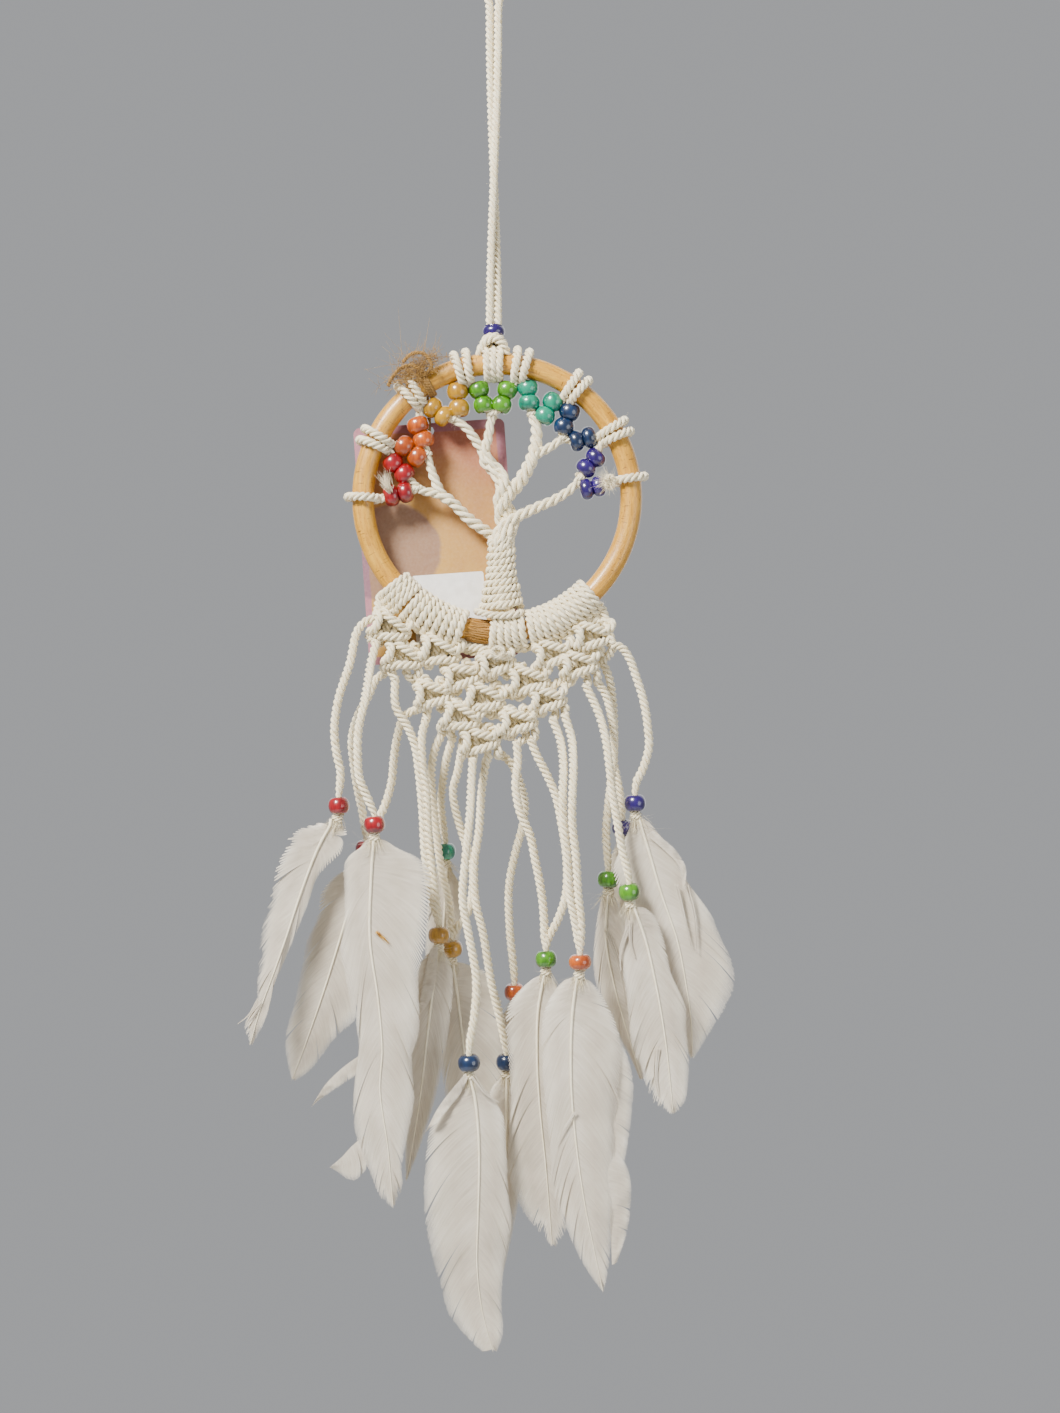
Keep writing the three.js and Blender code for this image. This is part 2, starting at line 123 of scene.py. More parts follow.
class Paint:
    """A material and short calls that add nodes to it."""

    def __init__(self, name, roughness, **sockets):
        self.material = bpy.data.materials.new(name)
        self.material.use_nodes = True
        self.tree = self.material.node_tree
        self.shader = self.tree.nodes["Principled BSDF"]
        self.shader.inputs["Roughness"].default_value = roughness
        for socket, value in sockets.items():
            self.shader.inputs[socket.replace("_", " ").title()].default_value = value

    def node(self, kind, inputs=None, **settings):
        made = self.tree.nodes.new("ShaderNode" + kind)
        for key, value in settings.items():
            setattr(made, key, value)
        for key, value in (inputs or {}).items():
            self.put(made.inputs[key], value)
        return made

    def put(self, socket, value):
        if isinstance(value, bpy.types.NodeSocket):
            self.tree.links.new(value, socket)
        else:
            socket.default_value = value

    def coordinates(self, source="UV", scale=(1, 1, 1), move=(0, 0, 0)):
        place = self.node("TexCoord").outputs[source]
        return self.node("Mapping", {"Vector": place, "Scale": scale, "Location": move}).outputs["Vector"]

    def noise(self, vector, scale, detail=3.0, rough=0.55):
        inputs = {"Vector": vector, "Scale": scale, "Detail": detail, "Roughness": rough}
        return self.node("TexNoise", inputs).outputs["Fac"]

    def ramp(self, factor, *stops):
        made = self.node("ValToRGB", {"Fac": factor})
        bar = made.color_ramp.elements
        bar[0].position, bar[0].color = stops[0][0], linear(stops[0][1])
        bar[1].position, bar[1].color = stops[-1][0], linear(stops[-1][1])
        for place, colour in stops[1:-1]:
            bar.new(place).color = linear(colour)
        return made.outputs["Color"]

    def math(self, operation, a, b=0.0):
        made = self.node("Math", operation=operation)
        self.put(made.inputs[0], a)
        self.put(made.inputs[1], b)
        return made.outputs["Value"]

    def times(self, a, b):
        return self.math("MULTIPLY", a, b)

    def plus(self, a, b):
        return self.math("ADD", a, b)

    def clamp(self, value):
        return self.node("Clamp", {"Value": value}).outputs["Result"]

    def mix(self, factor, a, b, blend="MIX"):
        made = self.node("Mix", data_type="RGBA", blend_type=blend)
        self.put(made.inputs["Factor"], factor)
        self.put(made.inputs["A"], a)
        self.put(made.inputs["B"], b)
        return made.outputs["Result"]

    def colour(self, value):
        self.put(self.shader.inputs["Base Color"], value)

    def bump(self, height, depth, strength=1.0):
        """Bump of that depth in metres."""
        made = self.node("Bump", {"Height": height, "Distance": depth, "Strength": strength})
        self.put(self.shader.inputs["Normal"], made.outputs["Normal"])


def cotton_paint():
    paint = Paint("cotton", 0.9, sheen_weight=0.25, sheen_roughness=0.6)
    fibres = paint.noise(paint.coordinates(scale=(0.35, 7, 1)), 1.6, 4.0, 0.6)
    patches = paint.noise(paint.coordinates("Object"), 60.0, 2.0)
    streaks = paint.ramp(fibres, (0.28, "BBA478"), (0.42, "E6D6AC"), (0.62, "FCF5DE"))
    paint.colour(paint.mix(paint.times(patches, 0.35), streaks, linear("EEDFB8")))
    paint.bump(fibres, 0.00025, 0.8)
    return paint.material


def lacquer_paint(name, deep, light):
    """Painted wood under a gloss coat. The grain shows faintly through it."""
    paint = Paint(name, 0.32, coat_weight=1.0, coat_roughness=0.06)
    grain = paint.noise(paint.coordinates("Object", scale=(1, 1, 0.25)), 900.0, 3.0)
    cloud = paint.noise(paint.coordinates("Object"), 160.0, 2.0)
    shade = paint.plus(paint.times(grain, 0.45), paint.times(cloud, 0.55))
    paint.colour(paint.ramp(shade, (0.36, deep), (0.6, light)))
    paint.bump(grain, 0.00006, 0.5)
    return paint.material


def rattan_paint():
    paint = Paint("rattan", 0.42, coat_weight=0.55, coat_roughness=0.22)
    along = paint.coordinates(scale=(0.035, 5.5, 1))
    grain = paint.noise(along, 3.2, 5.0, 0.62)
    pores = paint.noise(paint.coordinates(scale=(0.22, 16, 1)), 3.0, 3.0, 0.7)
    broad = paint.noise(paint.coordinates("Object"), 38.0, 3.0)
    base = paint.ramp(grain, (0.3, "94600C"), (0.48, "C28A22"), (0.7, "DDAA3E"))
    worn = paint.mix(paint.times(broad, 0.6), base, linear("D49A28"))
    dark = paint.ramp(pores, (0.32, "8A5420"), (0.42, "FFFFFF"))
    nicks = paint.noise(paint.coordinates(scale=(0.9, 3.2, 1)), 1.7, 2.0, 0.4)
    cracked = paint.ramp(nicks, (0.3, "5A3612"), (0.335, "FFFFFF"))
    paint.colour(paint.mix(0.7, paint.mix(0.6, worn, dark, "MULTIPLY"), cracked, "MULTIPLY"))
    paint.bump(paint.plus(grain, pores), 0.00022, 0.8)
    return paint.material


def grained_paint(name, roughness, place, noise, stops, bump, **sockets):
    """One noise that tints the surface and raises it. place and bump are what those calls take."""
    paint = Paint(name, roughness, **sockets)
    grain = paint.noise(paint.coordinates(*place), *noise)
    paint.colour(paint.ramp(grain, *stops))
    paint.bump(grain, *bump)
    return paint.material


def feather_paint():
    """Silky barbs that let some light through, painted with shade across the middle of the vane and
    highlights at its edge. U runs along a barb and V differs from barb to barb.
    """
    paint = Paint("feather", 0.42, sheen_weight=0.3, sheen_roughness=0.3)
    barbs = paint.noise(paint.coordinates(scale=(0.03, 9, 1)), 5.0, 3.0)
    cloud = paint.noise(paint.coordinates("Object"), 55.0, 3.0)
    shade = paint.plus(paint.times(barbs, 0.5), paint.times(cloud, 0.5))
    mottled = paint.ramp(shade, (0.3, "D6CDBE"), (0.5, "EBE4D6"), (0.68, "FBF7EC"))
    # Painted light: along each barb the colour goes greyer in the middle of the vane and whiter by the
    # rib and at the outer edge, a painted shade and painted highlights laid over the mottled tone.
    out = paint.node("SeparateXYZ", {"Vector": paint.coordinates(scale=(0.1, 1, 1))}).outputs["X"]
    painted_edge_light = paint.ramp(out, (0.0, "FAF7F2"), (0.45, "F0EBE4"), (0.8, "F8F6F1"), (1.0, "FFFFFF"))
    mottle_and_painted_light = paint.mix(1.0, mottled, painted_edge_light, "MULTIPLY")
    paint.colour(mottle_and_painted_light)
    glow = paint.node("BsdfTranslucent", {"Color": mottle_and_painted_light})
    mixed = paint.node("MixShader", {"Fac": 0.3})
    paint.put(mixed.inputs[1], paint.shader.outputs["BSDF"])
    paint.put(mixed.inputs[2], glow.outputs["BSDF"])
    output = paint.tree.nodes["Material Output"]
    paint.put(output.inputs["Surface"], mixed.outputs["Shader"])
    return paint.material


TAG_HOLE = (-26.2, 26.5)
TAG_LEAN = math.radians(4)
TAG_BACK = 9.2
TAG_THICK = 0.6
TAG_FRONT = TAG_BACK - TAG_THICK - 0.06


def card_paint():
    """A printed wash: mauve at the border, peach and yellow inside. A dark area low on the left, just
    inside the rod, is a painted shadow of the rod.
    """
    paint = Paint("card", 0.5, coat_weight=0.15, coat_roughness=0.3)
    hole = [(HOOP_AT[0] + TAG_HOLE[0]) * MM, 0, (HOOP_AT[2] + TAG_HOLE[1]) * MM]
    moved = paint.coordinates("Object", move=[-c for c in hole])
    turned = paint.node("Mapping", {"Vector": moved, "Rotation": (0, TAG_LEAN, 0)}).outputs["Vector"]
    split = paint.node("SeparateXYZ", {"Vector": turned}).outputs
    edge_x = paint.math("SUBTRACT", 0.029, paint.math("ABSOLUTE", split["X"]))
    edge_top = paint.math("SUBTRACT", 0.003, split["Z"])
    edge_low = paint.plus(0.088, split["Z"])
    inside = paint.math("MINIMUM", edge_x, paint.math("MINIMUM", edge_top, edge_low))
    cloud = paint.noise(turned, 26.0, 4.0)
    speck = paint.noise(turned, 900.0, 2.0)
    unevenness = paint.times(paint.math("SUBTRACT", cloud, 0.5), 0.004)
    ragged = paint.plus(inside, unevenness)
    border = paint.times(paint.math("SUBTRACT", ragged, 0.003), 2500.0)
    low = paint.times(split["Z"], -8.0)
    wash = paint.ramp(paint.plus(low, cloud), (0.45, "9C4E2C"), (0.75, "A8702C"), (1.05, "BC8C2E"))
    mauve = paint.ramp(cloud, (0.35, "7E3E50"), (0.65, "A86878"))
    body = paint.mix(paint.clamp(border), mauve, wash)
    # Painted shadow: the rod's shade on the card's front, a dark area just inside the rod, low on the
    # left.
    away_x = paint.math("POWER", paint.times(paint.plus(split["X"], 0.0175), 58.0), 2.0)
    away_z = paint.math("POWER", paint.times(paint.plus(split["Z"], 0.046), 62.0), 2.0)
    near = paint.math("SUBTRACT", paint.times(cloud, 2.2), paint.plus(away_x, away_z))
    rod_shadow = paint.clamp(paint.times(near, 5.0))
    front = paint.math("LESS_THAN", split["Y"], (TAG_FRONT + TAG_THICK / 2) * MM)
    wash_and_rod_shadow = paint.mix(paint.times(paint.times(rod_shadow, front), 0.6), body, linear("5A3A50"))
    paint.colour(paint.mix(paint.times(speck, 0.12), wash_and_rod_shadow, linear("FFF2E4")))
    paint.bump(speck, 0.00004, 0.5)
    return paint.material


def floor_paint():
    paint = Paint("floor", 0.8)
    cloud = paint.noise(paint.coordinates("Object"), 4.0, 2.0)
    paint.colour(paint.ramp(cloud, (0.3, "C9CACC"), (0.7, "CDCED0")))
    return paint.material


COTTON = cotton_paint()
RATTAN = rattan_paint()
SPLICE = grained_paint(
    "splice", 0.75, ("UV", (0.12, 9, 1)), (3.0, 5.0, 0.65),
    ((0.3, "8A5E24"), (0.5, "BE8A40"), (0.68, "E0B266")), (0.0005, 1.0),
)
FEATHER = feather_paint()
RACHIS = grained_paint(
    "rachis", 0.38, ("UV", (0.08, 3, 1)), (3.0, 3.0),
    ((0.35, "EBDDB8"), (0.65, "FFF8E4")), (0.00008, 0.5), coat_weight=0.2,
)
JUTE = grained_paint(
    "jute", 0.95, ("UV", (0.5, 6, 1)), (2.2, 4.0, 0.65),
    ((0.3, "64430F"), (0.5, "9C7434"), (0.7, "C49C58")), (0.0003, 0.9), sheen_weight=0.15,
)
STICKER = grained_paint(
    "sticker", 0.45, ("Object",), (300.0, 3.0),
    ((0.35, "E9E6E1"), (0.65, "F6F4F0")), (0.00003, 0.4), coat_weight=0.2,
)
SHADES = {  # each lacquer's deep and light colours
    "red": ("5A0008", "980010"), "orange": ("8A3400", "C45A00"), "yellow": ("8A6000", "B88600"),
    "green": ("224E00", "4C9000"), "teal": ("00483A", "008A6A"), "navy": ("030E26", "0A2A50"),
    "purple": ("120334", "260A62"),
}
LACQUERS = {name: lacquer_paint(f"{name}_lacquer", *shades) for name, shades in SHADES.items()}


def add_floor():
    bpy.ops.mesh.primitive_circle_add(vertices=96, radius=FLOOR_R, fill_type="NGON", location=FLOOR_AT)
    floor = bpy.context.object
    floor.name = "floor"
    floor.data.materials.append(floor_paint())


add_floor()

# ---------------------------------------------------------------- lines


def resample(line, count):
    """The same line as that many evenly spaced points."""
    s = lengths(line)
    at = np.linspace(0, s[-1], count)
    return np.stack([np.interp(at, s, line[:, axis]) for axis in range(3)], 1)


def lengths(line):
    """How far along the line each of its points is."""
    gaps = np.linalg.norm(np.diff(line, axis=0), axis=1)
    return np.concatenate([[0], np.cumsum(gaps)])


def smooth(points, step=0.6):
    """A centripetal Catmull-Rom curve through the points, as points about step apart."""
    p = np.asarray(points, float)
    p = np.vstack([2 * p[0] - p[1], p, 2 * p[-1] - p[-2]])
    knot = np.concatenate([[0], np.cumsum(np.linalg.norm(np.diff(p, axis=0), axis=1) ** 0.5)])
    runs = []
    for i in range(1, len(p) - 2):
        t0, t1, t2, t3 = knot[i - 1 : i + 3]
        t = np.linspace(t1, t2, 20, endpoint=False)[:, None]
        a1 = ((t1 - t) * p[i - 1] + (t - t0) * p[i]) / (t1 - t0)
        a2 = ((t2 - t) * p[i] + (t - t1) * p[i + 1]) / (t2 - t1)
        a3 = ((t3 - t) * p[i + 1] + (t - t2) * p[i + 2]) / (t3 - t2)
        b1 = ((t2 - t) * a1 + (t - t0) * a2) / (t2 - t0)
        b2 = ((t3 - t) * a2 + (t - t1) * a3) / (t3 - t1)
        runs.append(((t2 - t) * b1 + (t - t1) * b2) / (t2 - t1))
    dense = np.vstack([*runs, p[-2:-1]])
    return resample(dense, max(4, int(lengths(dense)[-1] / step) + 1))


def seen(x, z, y):
    """Where a point at depth y is, when x and z were read off the photo as if in the hoop's plane."""
    share = 1 - y * MM / VIEW_FROM[1]
    middle_x = VIEW_FROM[0] / MM - HOOP_AT[0]
    middle_z = VIEW_FROM[2] / MM - HOOP_AT[2]
    return middle_x + (x - middle_x) * share, middle_z + (z - middle_z) * share


def unit(vectors):
    return vectors / np.maximum(np.linalg.norm(vectors, axis=-1, keepdims=True), 1e-9)


def frames(line):
    """Unit vectors along the line, beside it and across both, which turn no more than the line does."""
    along = unit(np.gradient(line, axis=0))
    side = np.zeros_like(line)
    start = np.array([0.0, -1.0, 0.0])
    if abs(along[0] @ start) > 0.9:
        start = np.array([1.0, 0.0, 0.0])
    last = start
    for i, direction in enumerate(along):
        last = last - direction * (last @ direction)
        last = last / np.linalg.norm(last)
        side[i] = last
    return along, side, np.cross(along, side)


def on_hoop(angle, out=0.0, y=0.0):
    """A point at an angle of the hoop from +X in degrees, that far outside its centreline."""
    turn = math.radians(angle)
    return [(HOOP_R + out) * math.cos(turn), y, (HOOP_R + out) * math.sin(turn)]


def spokes(side, up, turns):
    """Directions that turn from side to up, on a new axis before the last."""
    return np.cos(turns)[:, None] * side[..., None, :] + np.sin(turns)[:, None] * up[..., None, :]


def seed_of(name):
    return sum((i + 1) * ord(letter) for i, letter in enumerate(name))


# ---------------------------------------------------------------- meshes


class Soup:
    """Closed tubes gathered into one mesh."""

    def __init__(self):
        self.points = []
        self.count = 0
        self.faces = []  # (vertices, uvs, material, smooth) with one row for each face

    def tubes(self, rings, u, v=None, material=0, smooth_faces=True, loop=False):
        """Tubes from rings[tube, ring, corner]. u is the U at each ring, and v the V of each tube."""
        rings = np.array(rings, float)
        tubes, count, corners, _ = rings.shape
        steps = rings[:, 1:] - rings[:, :-1]
        around = np.roll(rings, -1, 2)[:, :-1] - rings[:, :-1]
        outward = rings[:, :-1] - rings[:, :-1].mean(axis=2, keepdims=True)
        inside_out = (np.cross(around, steps) * outward).sum(axis=(1, 2, 3)) < 0
        rings[inside_out] = rings[inside_out][:, :, ::-1]
        index = self.count + np.arange(tubes * count * corners).reshape(tubes, count, corners)
        if loop:
            index = np.concatenate([index, index[:, :1]], axis=1)
        beside = np.roll(index, -1, 2)
        quads = np.stack([index[:, :-1], beside[:, :-1], beside[:, 1:], index[:, 1:]], -1)
        self.points.append(rings.reshape(-1, 3))
        self.count += tubes * count * corners
        u = np.broadcast_to(np.asarray(u, float), (tubes, quads.shape[1] + 1))
        low = u[:, :-1, None] + np.zeros(corners)
        high = u[:, 1:, None] + np.zeros(corners)
        if v is None:
            left = np.zeros_like(low) + np.arange(corners) / corners
            right = left + 1 / corners
        else:
            left = np.zeros_like(low) + np.asarray(v, float)[:, None, None]
            right = left
        uvs = np.stack([low, left, low, right, high, right, high, left], -1)
        self.add(quads.reshape(-1, 4), uvs.reshape(-1, 4, 2), material, smooth_faces)
        if not loop:
            ends = np.concatenate([index[:, 0, ::-1], index[:, -1]])
            flat = np.zeros((len(ends), corners, 2)) + [[[u[0, 0], 0.5]]]
            self.add(ends, flat, material, False)

    def add(self, vertices, uvs, material, smooth_faces):
        self.faces.append((vertices, uvs, material, smooth_faces))

    def object(self, name, materials, origin=HOOP_AT):
        mesh = bpy.data.meshes.new(name)
        points = (np.vstack(self.points) + origin) * MM
        mesh.vertices.add(len(points))
        mesh.vertices.foreach_set("co", points.ravel())
        sizes = np.concatenate([np.full(len(f[0]), f[0].shape[1]) for f in self.faces])
        corners = np.concatenate([f[0].ravel() for f in self.faces])
        mesh.loops.add(len(corners))
        mesh.loops.foreach_set("vertex_index", corners)
        mesh.polygons.add(len(sizes))
        mesh.polygons.foreach_set("loop_start", np.concatenate([[0], np.cumsum(sizes)[:-1]]))
        numbers = np.concatenate([np.full(len(f[0]), f[2]) for f in self.faces])
        mesh.polygons.foreach_set("material_index", numbers)
        soft = np.concatenate([np.full(len(f[0]), f[3]) for f in self.faces])
        mesh.polygons.foreach_set("use_smooth", soft)
        layer = mesh.uv_layers.new(name="UVMap")
        layer.data.foreach_set("uv", np.concatenate([f[1].ravel() for f in self.faces]))
        for material in materials:
            mesh.materials.append(material)
        mesh.update(calc_edges=True)
        mesh.validate()
        made = bpy.data.objects.new(name, mesh)
        bpy.context.collection.objects.link(made)
        return made


def circle_rings(line, radius, sides, squash=1.0):
    """Rings round a line. radius is one number or one for each point."""
    _, side, up = frames(line)
    radius = np.broadcast_to(np.asarray(radius, float), len(line))[:, None, None]
    return line[:, None] + radius * spokes(side, squash * up, np.arange(sides) * TAU / sides)


PLIES = 3
PLY_SHARE = 0.475  # a ply's radius as a share of the cord's


def rope(soup, line, radius=CORD_R, pitch=6.6, phase=0.0, sides=7, taper=None):
    """A twisted cord: plies that wind round the line."""
    _, side, up = frames(line)
    s = lengths(line)
    swell = 1 if taper is None else np.interp(s[-1] - s, *taper)
    ply = radius * PLY_SHARE * swell * (1 + 0.05 * np.sin(s * 1.7 + phase))
    off = radius * (1 - PLY_SHARE) * swell
    around = spokes(side, up, np.arange(sides) * TAU / sides)
    tubes = []
    for k in range(PLIES):
        wind = -TAU * (s / pitch + k / PLIES) + phase
        shift = np.cos(wind)[:, None] * side + np.sin(wind)[:, None] * up
        centre = line + (off * shift.T).T
        tubes.append(centre[:, None] + (ply * np.ones(len(line)))[:, None, None] * around)
    soup.tubes(np.array(tubes), s)


def hairs(soup, roots, ways, bends, reach, radius, steps=5):
    """Thin tapering fibres. ways and bends are how each one sets out and how it curves, times reach."""
    t = np.linspace(0, 1, steps)[None, :, None]
    reach = np.asarray(reach, float)[:, None, None]
    line = roots[:, None] + reach * (t * ways[:, None] + t * t * bends[:, None])
    along = unit(np.gradient(line, axis=1))
    side = unit(np.cross(along, [0.3, 0.8, 0.52]))
    up = np.cross(along, side)
    thick = radius * (1 - 0.8 * t[..., None])
    rings = line[:, :, None] + thick * spokes(side, up, np.arange(3) * TAU / 3)
    soup.tubes(rings, t[0, :, 0] * 4, np.arange(len(roots)) * 0.37 % 1)


def fuzz(soup, line, radius, seed, density=0.9, reach=1.1):
    """Loose fibres along a cord."""
    rng = np.random.default_rng(seed)
    along, side, up = frames(line)
    count = int(lengths(line)[-1] * density)
    at = rng.integers(0, len(line), count)
    turn = rng.uniform(0, TAU, count)[:, None]
    outward = np.cos(turn) * side[at] + np.sin(turn) * up[at]
    ways = unit(outward * rng.uniform(0.3, 1, (count, 1)) + along[at] * rng.uniform(-1, 1, (count, 1)))
    roots = line[at] + outward * radius * 0.85
    hairs(soup, roots, ways, rng.normal(0, 0.45, (count, 3)), reach * rng.uniform(0.4, 1.2, count), 0.035)


def cord(soup, line, seed, radius=CORD_R, taper=None, **shape):
    rope(soup, line, radius, taper=taper, phase=seed * 0.7, **shape)
    fuzz(soup, line, radius, seed)


BEAD_LATITUDE = 62  # a bead's painted side reaches this far up and down, in degrees


def bead(soup, at, axis, radius, height, bore, seed):
    """A turned bead with its bore along axis."""
    rng = np.random.default_rng(seed)
    turns = np.radians(np.linspace(-BEAD_LATITUDE, BEAD_LATITUDE, 15))
    outer = radius * np.cos(turns) ** 0.62
    level = height / 2 * np.sin(turns) / math.sin(math.radians(BEAD_LATITUDE))
    rho = np.concatenate([[bore, bore * 1.25], outer, [bore * 1.25, bore]])
    z = np.concatenate([[-height * 0.3, -height * 0.47], level, [height * 0.47, height * 0.3]])
    axis = unit(np.asarray(axis, float) + rng.normal(0, 0.05, 3))
    side = unit(np.cross(axis, [0.1, 1.0, 0.05]))
    up = np.cross(axis, side)
    turn = np.linspace(0, TAU, 28, endpoint=False)
    oval = 1 + 0.02 * rng.normal()
    around = np.cos(turn)[:, None] * side * oval + np.sin(turn)[:, None] * up
    rings = np.asarray(at, float) + z[:, None, None] * axis + rho[:, None, None] * around
    soup.tubes(rings[None], z.tolist() + [z[0]], loop=True)


def finish_piece(soup, name, materials, body, replaced=(), origin=HOOP_AT):
    made = soup.object(name, materials, origin)
    if replaced:
        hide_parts(*replaced)
    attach(made, body)
    return made


def finish_cotton(soup, name, replaced=(), body="hoop"):
    return finish_piece(soup, name, [COTTON], body, replaced)


# ---------------------------------------------------------------- pendants
# rib, left and right are a feather's [x, z] lines from the quill's top to the tip, as read off the photo.
OUTLINES = {
    "red_1": {
        "rib": [[-63, -123.7], [-67.9, -132.8], [-74.7, -150.6], [-79.3, -164.6], [-85, -180.9],
            [-89.9, -194.2], [-93.7, -207.5]],
        "left": [[-64.9, -121], [-67.9, -122.9], [-74.3, -124.8], [-79.3, -129], [-81.9, -135.4],
            [-85.3, -143.4], [-86.9, -153.2], [-89.9, -163.9], [-91, -176], [-91.4, -185.9],
            [-92.2, -195], [-96, -199.9], [-94.1, -207.9]],
        "right": [[-60.7, -122.1], [-56.9, -126.7], [-57.7, -132.8], [-63, -137.7], [-67.9, -143.4],
            [-72.1, -155.1], [-75.9, -164.6], [-80.4, -175.2], [-85, -186.2], [-87.2, -196.1],
            [-92.9, -208.2]],
    },
    "red_2": {
        "rib": [[-46.7, -127.4], [-47.8, -144.9], [-48.2, -167.7], [-45.1, -190.4], [-43.6, -209.4],
            [-44.4, -224.5], [-41.3, -247.3], [-39.4, -269.3]],
        "left": [[-48.9, -127.8], [-53.9, -132.8], [-57.7, -134.7], [-58, -148.7], [-58, -160.1],
            [-59.6, -173.3], [-57.3, -184.7], [-55, -197.2], [-52.3, -210.1], [-54.6, -225.3],
            [-54.2, -242.8], [-49.3, -254.9], [-44.4, -265.5], [-39.8, -270.1]],
        "right": [[-44.4, -127.8], [-38.3, -132], [-29.2, -136.2], [-25.4, -140.3], [-25, -152.5],
            [-26.9, -169.5], [-29.6, -184.7], [-29.2, -203.7], [-31.9, -212.4], [-31.1, -228.3],
            [-33.8, -243.5], [-36, -254.9], [-35.7, -261], [-38.7, -269.3]],
    },
    "red_3": {
        "rib": [[-50.8, -138.1], [-58, -162], [-65.6, -186.6], [-72.4, -206.3], [-77.8, -220.8]],
        "left": [[-53.1, -138.1], [-63.3, -144.9], [-67.5, -151.3], [-68.7, -160.1], [-72.4, -167.7],
            [-75.1, -180.9], [-77.4, -192.3], [-80.8, -206.3], [-79.7, -215.1], [-78.1, -221.1]],
        "right": [[-48.9, -138.8], [-44.4, -152.5], [-45.9, -171.4], [-48.9, -186.6], [-54.2, -199.5],
            [-60.3, -204.4], [-67.1, -213.2], [-71.7, -218.1], [-77, -221.5]],
    },
    "navy_1": {
        "rib": [[-10.6, -218.5], [-8.3, -228.3], [-6.8, -247.3], [-7.2, -272], [-7.6, -290.9],
            [-5.7, -308], [-1.5, -323.9]],
        "left": [[-12.5, -218.5], [-17.1, -227.6], [-25.4, -238.6], [-27.7, -253], [-28.1, -270.8],
            [-25.4, -287.1], [-21.2, -301.5], [-17.8, -311.8], [-11.8, -319], [-5.7, -324.3]],
        "right": [[-9.1, -218.5], [-2.7, -226.1], [2.3, -233.6], [3.8, -247.3], [4.6, -264.4],
            [5.7, -276.9], [3, -290.9], [1.9, -306.1], [2.3, -317.5], [0, -324.3]],
    },
    "green_1": {
        "rib": [[18.2, -179.8], [15.6, -194.2], [15.2, -213.2], [16.3, -232.1], [18.6, -254.9],
            [20.9, -283.7]],
        "left": [[15.9, -180.5], [8.7, -186.6], [3.4, -194.2], [3.4, -207.5], [4.9, -228.3],
            [3.8, -247.3], [4.2, -258.7], [8, -268.5], [12.5, -275.4], [20.5, -284.5]],
        "right": [[20.5, -180.5], [26.2, -190.4], [28.4, -209.4], [29.2, -232.1], [28.8, -254.9],
            [27.3, -276.1], [22.4, -285.2]],
    },
    "orange_2": {
        "rib": [[30.3, -180.5], [28.4, -198], [28.1, -220.8], [29.6, -241.6], [33, -266.3],
            [36.8, -285.2], [40.2, -301.2]],
        "left": [[28.4, -180.5], [22, -186.6], [17.4, -196.1], [16.7, -217], [19.7, -247.3],
            [21.2, -267], [26.6, -279.2], [33.4, -292.8], [39.8, -301.5]],
        "right": [[32.6, -180.2], [39.1, -187.4], [44, -196.1], [47.4, -207.5], [47, -220.8],
            [45.1, -237.8], [45.1, -258.7], [44, -279.5], [41.7, -296.6], [40.6, -301.5]],
    },
    "green_2": {
        "rib": [[42.1, -148.7], [41.3, -167.7], [44.4, -184.7], [49.7, -203.7], [55, -220.8]],
        "left": [[40.2, -149.4], [37.9, -160.1], [36.4, -179.8], [40.2, -193.4], [45.1, -203.7],
            [50.4, -212.4], [54.2, -220.8]],
        "right": [[44.4, -149.4], [48.9, -163.9], [54.2, -184.7], [56.9, -205.6], [55.8, -220.8]],
    },
    "green_3": {
        "rib": [[51.6, -154.4], [56.1, -166.9], [59.9, -182.8], [63.3, -201.8], [65.2, -217],
            [66.8, -233.6]],
        "left": [[49.3, -154.8], [48.2, -163.9], [47.4, -177.1], [49.3, -191.2], [51.2, -209.4],
            [54.2, -216.2], [56.5, -224.5], [58.8, -229.5], [66, -234]],
        "right": [[53.9, -154], [59.9, -158.5], [64.1, -169.5], [65.6, -179], [71.7, -193.4],
            [72.4, -203.7], [73.2, -217], [71.3, -229.5], [67.5, -234]],
    },
    "purple_2": {
        "rib": [[53.5, -120.6], [58, -135.4], [62.2, -149.8], [68.3, -167.7], [71.7, -184.7],
            [73.6, -198], [74.3, -212.4]],
        "left": [[51.6, -120.6], [47.4, -130.5], [43.6, -141.1], [47.4, -152.5], [55, -167.7],
            [59.9, -180.9], [64.9, -194.2], [69.4, -205.6], [73.6, -213.2]],
        "right": [[55.4, -120.6], [62.6, -128.2], [69, -135.8], [72.1, -144.9], [81.9, -158.9],
            [86.1, -168.8], [90.3, -177.9], [89.9, -187.4], [83.1, -200.3], [74.7, -213.2]],
    },
}
